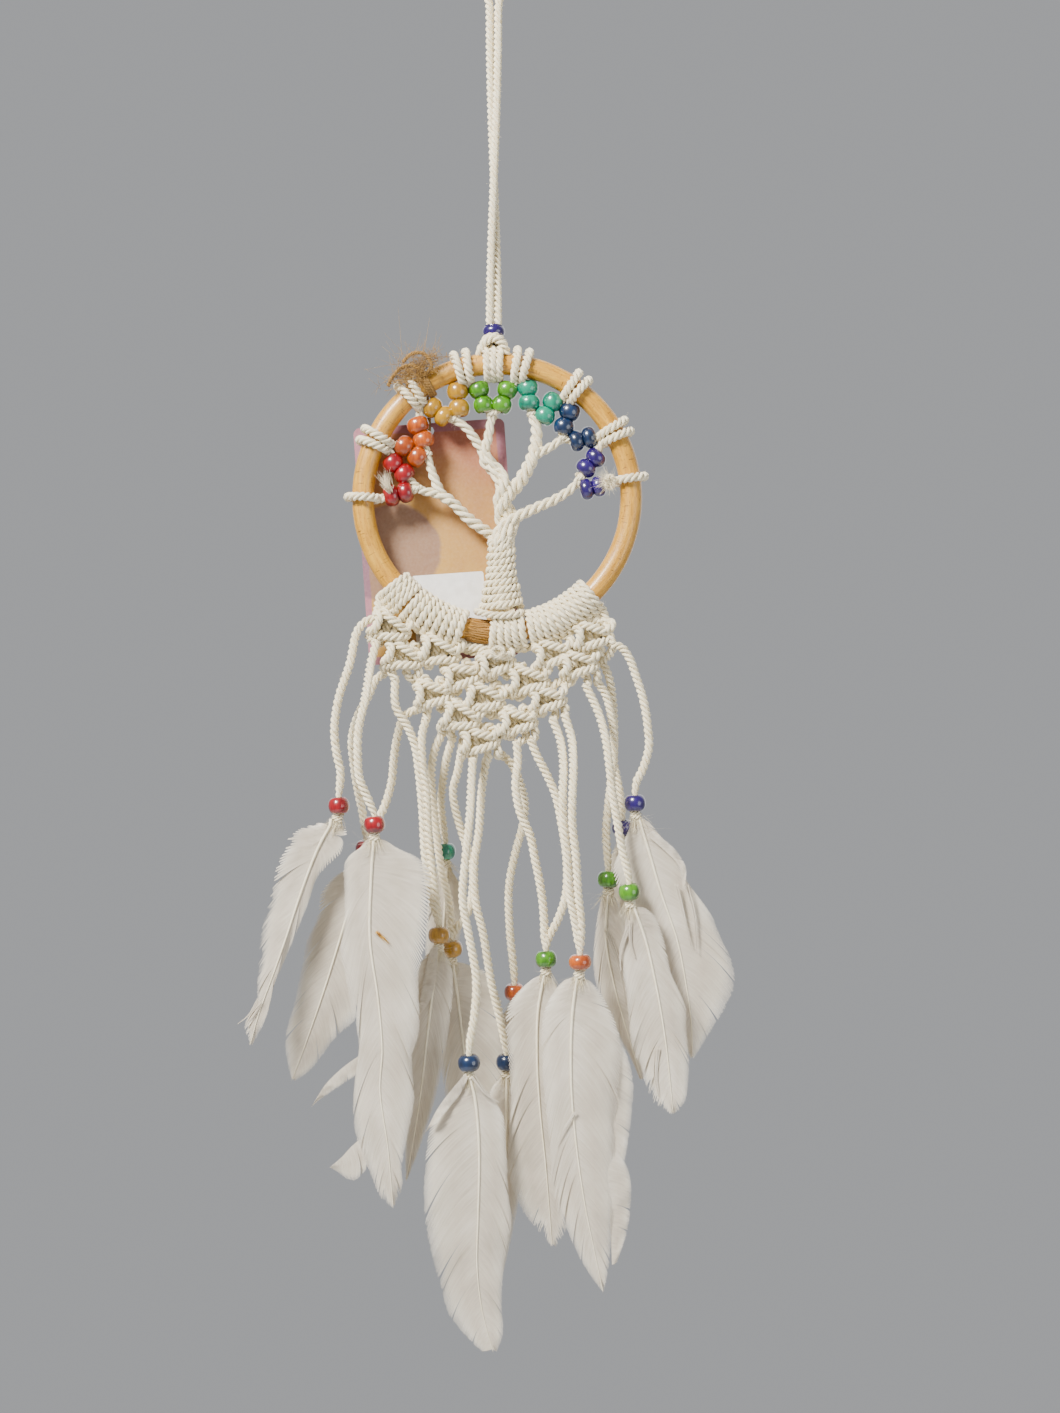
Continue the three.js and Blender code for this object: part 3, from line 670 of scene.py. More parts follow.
# Each pendant hangs in its own plane, y. routes are its cords' centrelines from the net to the bead
# as [x, z], and bead is the bead's centre. quill and wide are the rib and the half widths of a
# feather that has no outline above. A name starts with its bead's colour.
PENDANTS = {
    "red_1": {
        "y": -5, "bead": [-60, -116.7],
        "routes": [
            [[-45.4, -45.6], [-49.3, -46.6], [-52.9, -50.3], [-55.8, -62.6], [-60.2, -76.4],
             [-61.7, -88], [-60.9, -96.7], [-59.4, -104]],
        ],
    },
    "red_2": {
        "y": -17, "bead": [-46.5, -123.8],
        "routes": [
            [[-45.6, -54], [-47.9, -62.6], [-49.3, -71.3], [-50.8, -79.3], [-52.6, -88],
             [-52.9, -96.7], [-52.2, -106.2], [-49, -114]],
        ],
    },
    "red_3": {
        "y": 7, "bead": [-49.6, -133],
        "routes": [
            [[-41.3, -66], [-45.7, -68.6], [-48.6, -74.8], [-52.9, -82.8], [-55.1, -91.5],
             [-54.4, -101], [-52.9, -110.5], [-51.1, -119]],
            [[-31.2, -80.4], [-35.4, -83], [-37.7, -90], [-39.1, -98.7], [-40.1, -108.2],
             [-43.4, -118.5], [-47.6, -125.6]],
        ],
    },
    "yellow_1": {
        "y": -1, "bead": [-22, -165.8],
        "routes": [
            [[-38.6, -67.6], [-38.4, -79.3], [-34.1, -86.5], [-31.2, -93.9], [-29.6, -104.6],
             [-28.2, -120], [-27.4, -135], [-25.2, -150], [-23, -157.8]],
            [[-26.8, -83.6], [-28.4, -89.5], [-28.3, -101.1], [-26.8, -111.3], [-26.1, -125.8],
             [-24.7, -140.3], [-23.2, -152.5], [-22.4, -158]],
        ],
        "quill": [[-22.4, -170], [-25.5, -196], [-29.5, -230], [-34.5, -259]], "wide": [8, 8],
    },
    "yellow_2": {
        "y": 12, "bead": [-17.1, -171],
        "routes": [
            [[-20.2, -88.4], [-23.2, -94.4], [-24.8, -102.4], [-24.5, -112], [-23.2, -125.8],
             [-21.4, -139.8], [-18.4, -152.7], [-17.4, -163]],
            [[-12.9, -91.4], [-14.9, -103.9], [-16.7, -111.1], [-15.2, -120.6], [-12.6, -129.3],
             [-9.6, -138], [-9.3, -148], [-11.2, -157.6], [-15.6, -163.6]],
        ],
        "quill": [[-16.8, -175.2], [-13, -205], [-10, -235], [-9, -266]], "wide": [11, 17],
    },
    "teal": {
        "y": 19, "bead": [-19.6, -134],
        "routes": [
            [[-16.6, -90.4], [-18.9, -98], [-20.4, -107], [-21.2, -117], [-20.2, -126]],
        ],
        "quill": [[-19, -139], [-20.5, -165], [-22.5, -190], [-24, -215]], "wide": [7, 7],
    },
    "navy_1": {
        "y": -12, "bead": [-10.6, -214.3],
        "routes": [
            [[-9.2, -98.8], [-9.8, -108.6], [-10.5, -122.1], [-11.9, -136.5], [-13, -152.5],
             [-10.4, -167.3], [-7.9, -182.5], [-8.6, -196.4], [-10.2, -206]],
        ],
    },
    "navy_2": {
        "y": 6.5, "bead": [3.6, -214],
        "routes": [
            [[-4, -98.8], [-5.8, -111.1], [-6.8, -125.8], [-8.6, -138.5], [-8.2, -152.5],
             [-5.3, -165.2], [-2, -184.7], [1, -197.1], [2.8, -205.8]],
        ],
        "quill": [[3.6, -218.4], [3.4, -245], [1.6, -275], [0, -301]], "wide": [8, 8],
    },
    "orange_1": {
        "y": 17, "bead": [6.6, -187.4],
        "routes": [
            [[1.4, -97], [5.6, -101], [8.5, -107.2], [10.6, -115.7], [9.6, -124.9], [7, -134.4],
             [4.6, -147.5], [4.9, -164.2], [6.4, -179.4]],
        ],
        "quill": [[6.6, -191.8], [8.5, -215], [10, -240], [11.5, -268]], "wide": [9, 10],
    },
    "green_1": {
        "y": -5.5, "bead": [18.6, -174.9],
        "routes": [
            [[7.4, -92.2], [7.9, -99.7], [7, -108.4], [8.5, -118.5], [12.5, -127.8], [14.3, -136.5],
             [16.4, -146.9], [17.6, -156.2], [18.1, -166.8]],
            [[12.6, -91.4], [15, -97.4], [18.6, -104.4], [22.3, -113.1], [24.4, -123.1], [26.4, -137],
             [26.1, -150.5], [23, -160.2], [19.6, -166.8]],
        ],
    },
    "orange_2": {
        "y": -17, "bead": [31.5, -176],
        "routes": [
            [[20.8, -83.4], [23.7, -91], [25.1, -101.1], [24.8, -112.7], [25.1, -122.1],
             [26.6, -136.5], [27.6, -150.5], [29.6, -160.7], [30.8, -168]],
            [[25.6, -82.2], [28.1, -90.5], [28.9, -101.1], [28.5, -114.9], [28.6, -124.3],
             [29.9, -136], [30.8, -150.5], [31.8, -160], [31.8, -168]],
        ],
    },
    "green_2": {
        "y": 1, "bead": [42.2, -144.7],
        "routes": [
            [[37.6, -69.4], [41.2, -74.5], [43.2, -82.3], [44.4, -91.5], [43.8, -102.8],
             [42.2, -116.5], [41.4, -127.1], [42, -136.6]],
        ],
    },
    "green_3": {
        "y": -12, "bead": [50.2, -149.4],
        "routes": [
            [[33.5, -70.8], [38, -80.3], [41, -90.5], [42.6, -101.4], [43.8, -112.1], [45.5, -122.1],
             [47.4, -133], [49.4, -141.2]],
        ],
    },
    "purple_1": {
        "y": 12, "bead": [47.6, -125],
        "routes": [
            [[39.6, -61.4], [42.6, -68.3], [44.1, -78.5], [44.5, -89.5], [44.4, -100.4],
             [46.2, -109.4], [47.4, -117]],
        ],
        "quill": [[48.2, -129.4], [51.5, -150], [56, -172], [62, -196]], "wide": [8, 8],
    },
    "purple_2": {
        "y": -5.5, "bead": [52.3, -115.7],
        "routes": [
            [[43.4, -55.6], [47, -56.6], [50, -60.4], [52.7, -67.6], [55.6, -77], [57.2, -86.9],
             [57.6, -94.6], [55.4, -102.6], [53, -107.6]],
        ],
    },
}
EASE_LENGTH = 30  # a cord reaches its pendant's plane this far below the net
NET_FACE = 3  # from the net's middle to its front and back


BEAD_R = 4.1
BEAD_TALL = 6.0
SQUAT_BEAD = (4.4, 5.4)  # orange_2's is wider and lower


def rib_of(name):
    """A feather's rib, from the quill's top to the tip."""
    return OUTLINES[name]["rib"] if name in OUTLINES else PENDANTS[name]["quill"]


def cord_points(route, depth):
    """The route as points that leave the net's plane and ease over to the pendant's plane."""
    top = route[0][1]
    start = max(-NET_FACE, min(NET_FACE, depth))
    points = []
    for x, z in route:
        t = min(1.0, (top - z) / EASE_LENGTH)
        y = start + (depth - start) * t * t * (3 - 2 * t)
        x, z = seen(x, z, y)
        points.append([x, y, z])
    return points


def add_bead(name, plan):
    x, z = seen(*plan["bead"], plan["y"])
    wide, tall = SQUAT_BEAD if name == "orange_2" else (BEAD_R, BEAD_TALL)
    soup = Soup()
    bead(soup, [x, plan["y"], z], [0, 0, 1], wide, tall, 1.2, seed_of(name))
    colour = name.split("_")[0]
    return finish_piece(soup, f"bead_{name}", [LACQUERS[colour]], name, [f"{name}_bead"])


def add_tie(name, plan):
    """The knot under a bead: two turns of cord and the cord's frayed end."""
    rng = np.random.default_rng(seed_of(name) + 5)
    x, z = seen(*plan["bead"], plan["y"])
    top = np.array([x, plan["y"], z - 2.6])
    quill_x, quill_z = seen(*rib_of(name)[0], plan["y"])
    lean = unit(np.array([quill_x - x, 0, quill_z - 3 - z]))
    soup = Soup()
    turn = np.linspace(0, 2.2 * TAU, 60)
    coil = top + lean * (turn[:, None] / TAU * 1.5)
    coil += 1.35 * np.stack([np.cos(turn), 0.45 * np.sin(turn), -lean[0] / lean[2] * np.cos(turn)], 1)
    rope(soup, resample(coil, 44), 1.0, sides=6, pitch=3.4)
    count = 130
    spread = rng.normal(0, 0.75, (count, 3)) * [1, 0.4, 0]
    roots = top + spread * 0.8 + lean * rng.uniform(0.5, 2.5, (count, 1))
    ways = unit(lean + spread * 0.32 + rng.normal(0, 0.07, (count, 3)) * [1, 0.5, 1])
    hairs(soup, roots, ways, rng.normal(0, 0.16, (count, 3)), rng.uniform(3.5, 8.5, count), 0.09)
    return finish_cotton(soup, f"tie_{name}", body=name)


def add_pendant_cord(name, plan, number):
    x, z = seen(*plan["bead"], plan["y"])
    points = cord_points(plan["routes"][number], plan["y"])
    line = smooth([*points, [x, plan["y"], z + 3.9]], 0.5)
    full = np.vstack([line, [[x, plan["y"], z + 2.4], [x, plan["y"], z]]])
    full = resample(full, int(lengths(full)[-1] / 0.5))
    soup = Soup()
    seed = seed_of(name) + 31 * number
    cord(soup, full, seed, taper=([0, 3.4, 8.0], [0.62, 0.72, 1.0]))
    made = soup.object(f"cord_{name}_{number + 1}", [COTTON])
    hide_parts(f"{name}_cord")
    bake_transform(made)


for pendant, plan in PENDANTS.items():
    pieces = [add_bead(pendant, plan), add_tie(pendant, plan)]
    for number in range(len(plan["routes"])):
        add_pendant_cord(pendant, plan, number)

# ---------------------------------------------------------------- hanging cord

SLIDE_BEAD_Z = -151.9
SLIDE_BEAD_R = 4.3
SLIDE_BEAD_TALL = 4.6
SLIDE_BEAD_BORE = 2.9
HANGER_R = 1.65
LEG_OFF = 1.6  # from the middle to each leg
LEG_TOP = -31.0
LEG_FOOT = -157.5
# One side of the loop over the nail, as [x, z]
HANGER_SIDE = [[1.9, -27], [4.2, -19.5], [6.4, -13], [7, -7], [5.4, -1.6], [2.6, 1.1]]


def hanger_leg(side):
    """One of the two legs, from the hoop up. They make half a turn round each other."""
    points = []
    for z in np.linspace(LEG_FOOT, LEG_TOP, 16):
        turn = math.pi * (z - LEG_FOOT) / (LEG_TOP - LEG_FOOT)
        points.append([side * LEG_OFF * math.cos(turn), side * LEG_OFF * math.sin(turn), z])
    return points


def add_hanger():
    left = [[-x, 0, z] for x, z in HANGER_SIDE]
    over = [*left, [0, 0, CORD_R], *([x, 0, z] for x, z in HANGER_SIDE[::-1])]
    line = smooth([*hanger_leg(1), *over, *hanger_leg(-1)[::-1]], 0.5)
    soup = Soup()
    cord(soup, line, 3, radius=HANGER_R)
    made = soup.object("hanging_cord", [COTTON], WORLD_AT)
    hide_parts("hanger_cord")
    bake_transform(made)


def add_slide_bead():
    soup = Soup()
    bead(soup, [0, 0, SLIDE_BEAD_Z], [0, 0, 1], SLIDE_BEAD_R, SLIDE_BEAD_TALL, SLIDE_BEAD_BORE, 11)
    purple = [LACQUERS["purple"]]
    finish_piece(soup, "slide_bead", purple, "slide_bead", ["hanger_bead"], WORLD_AT)


def wrap(angle, lean=0.0, start=(-6.6, -0.6), grip=5.75):
    """A cord's way once round the rod: over its front from the inside out, and back behind it."""
    points = []
    if start:
        points.append(on_hoop(angle - lean, start[0], start[1]))
    for turn in range(-150, 151, 30):
        t = math.radians(turn)
        points.append(on_hoop(angle + lean * turn / 150, grip * math.sin(t), -grip * math.cos(t)))
    return points


# The two turns that cross in front of the hitch's legs
HOOD = [
    [-6.6, 1.5, 52.5], [-6.3, -2.6, 55.0], [-4.6, -4.0, 58.2], [-1.4, -4.4, 59.8], [1.8, -4.0, 58.2],
    [3.6, -2.6, 55.0], [3.9, 1.5, 52.5],
]
TOP_HOOD = [
    [-5.4, 1.5, 57.4], [-4.2, -2.6, 60.0], [-1.4, -3.6, 61.0], [1.6, -2.6, 60.0], [2.8, 1.5, 57.4],
]


def add_hanger_knot():
    """The hitch on the rod: three turns and the hood over them."""
    soup = Soup()
    for side in (-1, 0, 1):
        leg = [[side * LEG_OFF - HOOP_AT[0], 0.3, 61.5], [side * LEG_OFF * 1.2 - HOOP_AT[0], 1.2, 58.0]]
        turns = wrap(91.6 - side * 2.75, start=None, grip=5.8)[::-1]
        cord(soup, smooth([*leg, *turns], 0.5), 20 + side, radius=1.55)
    cord(soup, smooth(HOOD, 0.5), 24, radius=1.75)
    cord(soup, smooth(TOP_HOOD, 0.5), 25, radius=1.4)
    finish_cotton(soup, "hanging_knot", ["hanger_knot"])


add_hanger()
add_slide_bead()
add_hanger_knot()

# ---------------------------------------------------------------- hoop

SPLICE_FROM = 257.6  # degrees of the hoop
SPLICE_TO = 268.6
SPLICE_FIBRES = 64


def add_hoop():
    """The rod, with its slow unevenness."""
    angles = np.linspace(0, 360, 241)[:-1]
    line = np.array([on_hoop(a) for a in angles])
    around = spokes(unit(line), np.array([[0, 1, 0]]), np.arange(20) * TAU / 20)
    wave = np.radians(angles)
    radius = ROD_R * (1 + 0.012 * np.sin(5 * wave + 0.4) + 0.008 * np.sin(13 * wave + 2.0))
    soup = Soup()
    along = np.radians(np.append(angles, 360)) * HOOP_R
    soup.tubes((line[:, None] + radius[:, None, None] * around)[None], along, loop=True)
    finish_piece(soup, "rattan_hoop", [RATTAN], "hoop", ["hoop"])


def add_splice():
    """Where the rod's ends are scarfed together: short fibres laid along it."""
    rng = np.random.default_rng(7)
    soup = Soup()
    for k in range(SPLICE_FIBRES):
        turn = k * TAU / SPLICE_FIBRES + rng.normal(0, 0.05)
        lift = ROD_R + rng.uniform(0.02, 0.28)
        first = SPLICE_FROM + rng.uniform(-1, 1.2)
        angles = np.linspace(first, SPLICE_TO + rng.uniform(-1.2, 1), 12)
        sway = turn + 0.06 * np.sin(np.linspace(0, 3, 12) + rng.uniform(0, 6))
        around = zip(angles, sway)
        line = np.array([on_hoop(a, lift * math.cos(w), lift * math.sin(w)) for a, w in around])
        radius = rng.uniform(0.22, 0.34) * np.sin(np.linspace(0.15, 3.0, 12)) ** 0.4
        soup.tubes(circle_rings(line, radius, 5)[None], lengths(line))
    finish_piece(soup, "hoop_splice", [SPLICE], "hoop")


add_hoop()
add_splice()

# ---------------------------------------------------------------- net

NET_R = 1.8  # knotted cord spreads a little
RIB_R = 1.58  # a hitch pulls its cord thinner
NET_ROWS = [  # the middles of the square knots, as [x, z]
    [[-40.2, -49.6], [-21.6, -58.6], [0, -62.8], [21.4, -59.4], [36.4, -52.6]],
    [[-35.4, -60.6], [-13.3, -67.8], [12.1, -69.4], [31.2, -63.4]],
    [[-23.9, -74.7], [-4.6, -76.2], [19.3, -76.6]],
    [[-13.3, -83.4], [8, -85]],
    [[-6.4, -92.2]],
]
HITCH_ANGLES = [  # where each strand goes over the rod, in degrees of the hoop
    *(220.8 + 2.5 * i for i in range(4)), *(232.2 + 3.2 * i for i in range(8)),
    280.8, *(284.9 + 2.9 * i for i in range(11)),
]
# A strand's way round the rod: how far outside its centreline, and y
HITCH = [
    (1.5, 5.6), (-2, 5.4), (-5.4, 1.6), (-5.2, -2.2), (-1.5, -5.5), (2.5, -5), (5.2, -2.6), (7.2, -0.6),
]
HALF = 5.6  # half of a square knot's width
# The way of a knot's four cords from its middle. The outer two are tied round the inner two.
KNOT_WAYS = [
    [(-HALF - 0.8, 0.8, 5.4), (-HALF + 1.2, -2.4, 4.7), (-1.8, -4.2, 3.7), (1.6, -4.4, 2.6),
     (HALF - 1.0, -3.0, 1.5), (HALF + 0.8, -0.2, 0), (HALF - 1.0, -3.0, -1.6), (1.6, -4.4, -2.5),
     (-1.8, -4.2, -3.5), (-HALF + 1.2, -2.4, -4.4), (-HALF - 1.0, 0.6, -5.4)],
    [(-2.6, -0.6, 5.8), (-1.6, 0.2, 2.4), (-1.6, 0.2, -2.4), (-2.8, -0.6, -5.8)],
    [(2.6, -0.6, 5.8), (1.6, 0.2, 2.4), (1.6, 0.2, -2.4), (2.8, -0.6, -5.8)],
    [(HALF + 1.2, -1.2, 5.0), (HALF + 0.6, -3.6, 2.9), (HALF - 0.8, -0.8, 1.5), (3.4, 2.8, 1.0),
     (0, 3.5, 0.9), (-3.4, 2.9, 1.3), (-HALF - 0.2, 0.4, 2.6), (-HALF - 0.8, -2.8, 3.3),
     (-HALF + 0.4, -5.0, 2.2), (-HALF + 0.8, -5.7, 0), (-HALF + 0.4, -5.0, -2.2),
     (-HALF - 0.8, -2.8, -3.3), (-HALF - 0.2, 0.4, -2.6), (-3.4, 2.9, -1.4), (0, 3.5, -1.4),
     (3.4, 2.8, -1.5), (HALF - 0.2, 0.2, -2.2), (HALF + 1.2, -1.6, -4.0), (HALF + 1.0, -0.8, -5.6)],
]
# Where each strand leaves the net: the pendant and its route. The other strands end behind the net.
EXITS = {
    0: ("red_1", 0), 2: ("red_2", 0), 4: ("red_3", 0), 5: ("yellow_1", 0), 6: ("red_3", 1),
    7: ("yellow_1", 1), 8: ("yellow_2", 0), 9: ("teal", 0), 10: ("yellow_2", 1), 11: ("navy_1", 0),
    12: ("navy_2", 0), 13: ("orange_1", 0), 14: ("green_1", 0), 15: ("green_1", 1), 16: ("orange_2", 0),
    17: ("orange_2", 1), 18: ("green_3", 0), 19: ("green_2", 0), 21: ("purple_1", 0), 23: ("purple_2", 0),
}
HIDDEN_ENDS = {1: [(-42.5, 3.4, -47), (-42, 3.6, -50)], 22: [(38.5, 3.2, -48), (38.6, 3.6, -52)]}


def strand_points(strand):
    """A net strand from behind the rod, over it, through its knots and out of the net."""
    rng = np.random.default_rng(strand + 40)
    angle = HITCH_ANGLES[strand] + 0.5
    points = [on_hoop(angle - 0.14 * i, out, y) for i, (out, y) in enumerate(HITCH)]
    for row, knots in enumerate(NET_ROWS):
        number, role = divmod(strand - 2 - 2 * row, 4)
        if not 0 <= number < len(knots) or strand < 2:
            continue
        x, z = knots[number]
        tilt = 0.2 * math.sin(2.3 * row + 1.9 * number + 0.6) - x / 160
        size = 1 + 0.06 * math.sin(3.1 * row + 2.2 * number)
        for dx, dy, dz in KNOT_WAYS[role]:
            dx, dz = size * dx, size * dz
            wobble = rng.normal(0, 0.12, 2)
            points.append([x + dx + dz * tilt + wobble[0], dy, z + dz - dx * tilt + wobble[1]])
    if strand in EXITS:
        name, number = EXITS[strand]
        leave = cord_points(PENDANTS[name]["routes"][number], PENDANTS[name]["y"])
        first, second = np.array(leave[0]), np.array(leave[1])
        points.append((first + 0.1 * (second - first)).tolist())
    elif strand in HIDDEN_ENDS:
        points.extend(HIDDEN_ENDS[strand])
    else:
        x, _, z = points[-1]
        points.append([x * 0.98, 3.2, z - 0.6])
    return points


def add_net():
    """Twelve doubled cords, each hitched on the rod by its middle."""
    hitches = Soup()
    net = Soup()
    for pair in range(12):
        first, second = strand_points(2 * pair), strand_points(2 * pair + 1)
        middle = (np.array(first[0]) + np.array(second[0])) / 2
        bar = [middle * 1.03 + [0, 0.4, 0]]
        line = smooth([*first[: len(HITCH)][::-1], *bar, *second[: len(HITCH)]], 0.5)
        cord(hitches, line, pair, radius=RIB_R, pitch=8.5)
        for strand, points in ((2 * pair, first), (2 * pair + 1, second)):
            cord(net, smooth(points[len(HITCH) - 2 :], 0.6), strand + 60, radius=NET_R, sides=6)
    finish_cotton(hitches, "hitches", ["net_hitches"])
    finish_cotton(net, "net", ["macrame_net"])


add_net()

# ---------------------------------------------------------------- tree

TRUNK_PROFILE = [[-43.1, 8.9], [-36, 7.6], [-28.5, 5.9], [-16, 5.3], [-10, 4.8]]  # z and half width
TRUNK_X = 1.6
WRAP_FOOT = -42.0
WRAP_PITCH = 2.72
WRAP_TURNS = 10.2
WRAP_R = 1.58
TRUNK_TIES = ((268.6, -0.5), (271.6, 0.4), (274.7, -0.3), (277.5, 0.5))  # angle on the hoop, lean
CURL_AT = (0.6, -7.0, -58.6)
SPINE = [[1.6, -20], [2.4, -15], [3.6, -7], [2.3, 2], [-0.6, 9], [-2.5, 13], [-4.0, 17]]
MAIN_BRANCHES = {  # each rope's radius, where it leaves the trunk, and its way on from there
    "red": [2.25, -15, [[-10.2, -8.3], [-19.7, 0.4], [-29.4, 3]]],
    "purple": [2.1, -9, [[14.8, -3.8], [21.6, -0.8], [28.1, 3.4], [31.2, 7]]],
    "teal": [2.7, -2, [[8.7, 6.4], [12.9, 14], [14.8, 21.2], [14.8, 27.3], [13.4, 31.4]]],
    "yellow": [2.1, 16, [[-8.2, 22], [-12.1, 26.9], [-16, 29.6]]],
    "green": [2.1, 16, [[-3.2, 24], [-2.1, 31.2]]],
}
SIDE_BRANCHES = {
    "orange": [[-17.5, -1.4], [-20.6, 0.8], [-24.4, 9], [-26.5, 16]],
    "navy": [[12.4, 12.4], [14.4, 16], [20.9, 19.7], [25, 22.6]],
}
BUNDLE_PITCH = 22.0  # the main ropes wind once round each other in this height


def bundle_ways():
    """The five ropes that wind up the trunk and part into branches."""
    spine = smooth([[x, 0, z] for x, z in SPINE], 2.5)
    ways = {}
    for k, (colour, (_, leaves, onward)) in enumerate(MAIN_BRANCHES.items()):
        points = []
        for x, _, z in spine:
            if z > leaves:
                break
            turn = TAU * (k / 5 + z / BUNDLE_PITCH)
            off = np.interp(z, [-20, 4, 16], [3.0, 2.6, 1.9])
            points.append([x + off * math.cos(turn), 0.85 * off * math.sin(turn), z])
        for i, (x, z) in enumerate(onward):
            points.append([x, points[-1][1] * 0.4 if i == 0 else 0, z])
        ways[colour] = points
    return ways


def add_branches(soup):
    for k, (colour, points) in enumerate(bundle_ways().items()):
        line = smooth(points, 0.6)
        taper = ([0, 12, 25, 60], [0.76, 0.95, 1.06, 0.95])
        rope(soup, line, MAIN_BRANCHES[colour][0], pitch=11.0, phase=k, taper=taper)
        fuzz(soup, line, 2.0, k + 70, 1.2)
    for k, points in enumerate(SIDE_BRANCHES.values()):
        line = smooth([[x, 0, z] for x, z in points], 0.6)
        rope(soup, line, 1.9, pitch=10.0, phase=k, taper=([0, 8, 14], [0.8, 1.0, 1.1]))
        fuzz(soup, line, 1.8, k + 80, 1.2)
    heart = smooth([[x, 0, z] for x, z in SPINE], 0.6)
    rope(soup, heart, 2.6, pitch=13.0, taper=([0, 30], [0.7, 1.0]))


def add_trunk(soup):
    """The cord wound round the trunk, and the trunk's core."""
    levels, halves = zip(*TRUNK_PROFILE)
    turn = np.linspace(0, WRAP_TURNS * TAU, 620)
    z = WRAP_FOOT + WRAP_PITCH * turn / TAU
    half = np.interp(z, levels, halves) - 1.45 + 0.25 * np.sin(turn * 0.43)
    sag = 0.9 * np.sin(turn + 0.6) * (1 + 0.5 * np.cos(turn * 0.11 + 0.5))
    coil = np.stack([TRUNK_X + half * np.cos(turn), 0.75 * half * np.sin(turn), z + sag], 1)
    coil = resample(coil, 620)
    rope(soup, coil, WRAP_R, sides=6, pitch=6.4)
    fuzz(soup, coil, 1.5, 90, 0.8)
    core = np.array([[TRUNK_X, 0, level] for level in np.linspace(-42.5, -15, 14)])
    radius = np.interp(core[:, 2], levels, halves) - 2.6
    soup.tubes(circle_rings(core, radius, 16, 0.75)[None], core[:, 2])


def add_trunk_ties(soup):
    """The turn round the trunk's foot, its ties over the hoop, and a loose curl with a frayed end."""
    foot = [[-7.6, 1, -43], [-6.4, -4.6, -43.6], [0.5, -6.4, -44.9], [7.6, -5.2, -44.2], [9.4, 0.5, -43]]
    cord(soup, smooth(foot, 0.5), 91, radius=1.5)
    for k, (angle, lean) in enumerate(TRUNK_TIES):
        cord(soup, smooth(wrap(angle, lean, start=(-7.4, -4.8), grip=5.9), 0.5), 92 + k, radius=1.65)
    rng = np.random.default_rng(97)
    x, y, z = CURL_AT
    turn = np.linspace(0, 2.3 * TAU, 40)
    curl = np.stack([x + 2.2 * np.cos(turn), y + 0.5 * np.sin(turn * 0.7), z + 1.6 * np.sin(turn)], 1)
    rope(soup, smooth(curl + rng.normal(0, 0.2, curl.shape), 0.4), 0.8, sides=6, pitch=3.4)
    roots = np.array([x, y - 0.2, z]) + rng.normal(0, 1, (60, 3)) * [1.8, 0.4, 1.2]
    ways = unit(rng.normal(0, 1, (60, 3)) * [1, 0.5, 1])
    hairs(soup, roots, ways, rng.normal(0, 0.5, (60, 3)), rng.uniform(1.5, 4, 60), 0.06)


def add_tree():
    soup = Soup()
    add_branches(soup)
    add_trunk(soup)
    add_trunk_ties(soup)
    finish_cotton(soup, "tree", ["tree_trunk"])


add_tree()

# ---------------------------------------------------------------- leaves

# Each group of tree beads: the branch's end, the hoop angles its two strands are tied at, and its beads,
# outer then inner on each strand
LEAVES = {
    "red": {
        "end": [-30.2, 3.6], "ties": [180, 154.8],
        "beads": [[-40.1, 0.9], [-34.8, 2.2], [-39.4, 13.3], [-35.1, 9.1]],
    },
    "orange": {
        "end": [-26.6, 16.4], "ties": [154.8, 129.3],
        "beads": [[-35.2, 19.6], [-30.1, 15.6], [-30, 27.6], [-27.9, 22]],
    },
    "yellow": {
        "end": [-16.2, 29.9], "ties": [129.3, 104.6],
        "beads": [[-24.4, 34.2], [-20.2, 31], [-14.9, 40.4], [-14.4, 34]],
    },
    "green": {
        "end": [-2, 31.8], "ties": [104.6, 79.7],
        "beads": [[-6.8, 41], [-5.1, 35.4], [3.9, 41], [1.8, 35.4]],
    },
    "teal": {
        "end": [13.4, 32], "ties": [79.7, 54.4],
        "beads": [[11.7, 41.7], [12.2, 36.1], [21.2, 36.5], [18.1, 31.2]],
    },
    "navy": {
        "end": [25.2, 22.8], "ties": [54.4, 28.9],
        "beads": [[27.5, 32.7], [25.4, 27], [34.9, 23], [30.1, 21.6]],
    },
    "purple": {
        "end": [31.6, 7.4], "ties": [28.9, 8],
        "beads": [[37.4, 15.3], [33.8, 11.3], [38.5, 4.4], [33.9, 3.3]],
    },
}
END_TIES = (180, 8)  # one strand each
TIE_HALF = 2.1  # between a hitch's middle and each of its two turns, in degrees of the hoop


def add_leaf(colour, end, ties, beads):
    strands = Soup()
    painted = Soup()
    seed = seed_of(colour)
    for i, angle in enumerate(ties):
        outer = np.array([beads[2 * i][0], 0, beads[2 * i][1]])
        inner = np.array([beads[2 * i + 1][0], 0, beads[2 * i + 1][1]])
        side = 0 if angle in END_TIES else (1 if i else -1)
        turns = wrap(angle + side * TIE_HALF, 0.5 if i else -0.5)
        line = smooth([[end[0], 0, end[1]], inner, outer, *turns], 0.5)
        cord(strands, line, seed + i, radius=1.75)
        height = min(6.2, float(np.linalg.norm(outer - inner)))
        for k, at in enumerate((outer, inner)):
            bead(painted, at, outer - inner, BEAD_R, height, 1.1, seed + 10 * i + k)
    tip = np.array([end[0], 0, end[1]])
    rng = np.random.default_rng(seed)
    turn = np.linspace(0, 1.6 * TAU, 30)
    coil = tip + np.stack([1.3 * np.cos(turn), 1.3 * np.sin(turn), turn * 0.3 - 1.4], 1)
    rope(strands, coil, 0.9, sides=6, pitch=3.6)
    roots, ways = tip + rng.normal(0, 0.9, (30, 3)), unit(rng.normal(0, 1, (30, 3)))
    hairs(strands, roots, ways, rng.normal(0, 0.3, (30, 3)), rng.uniform(1, 3, 30), 0.05)
    finish_cotton(strands, f"twigs_{colour}")
    finish_piece(painted, f"beads_{colour}", [LACQUERS[colour]], "hoop", [f"leaf_{colour}"])


for leaf_colour, leaf in LEAVES.items():
    add_leaf(leaf_colour, **leaf)


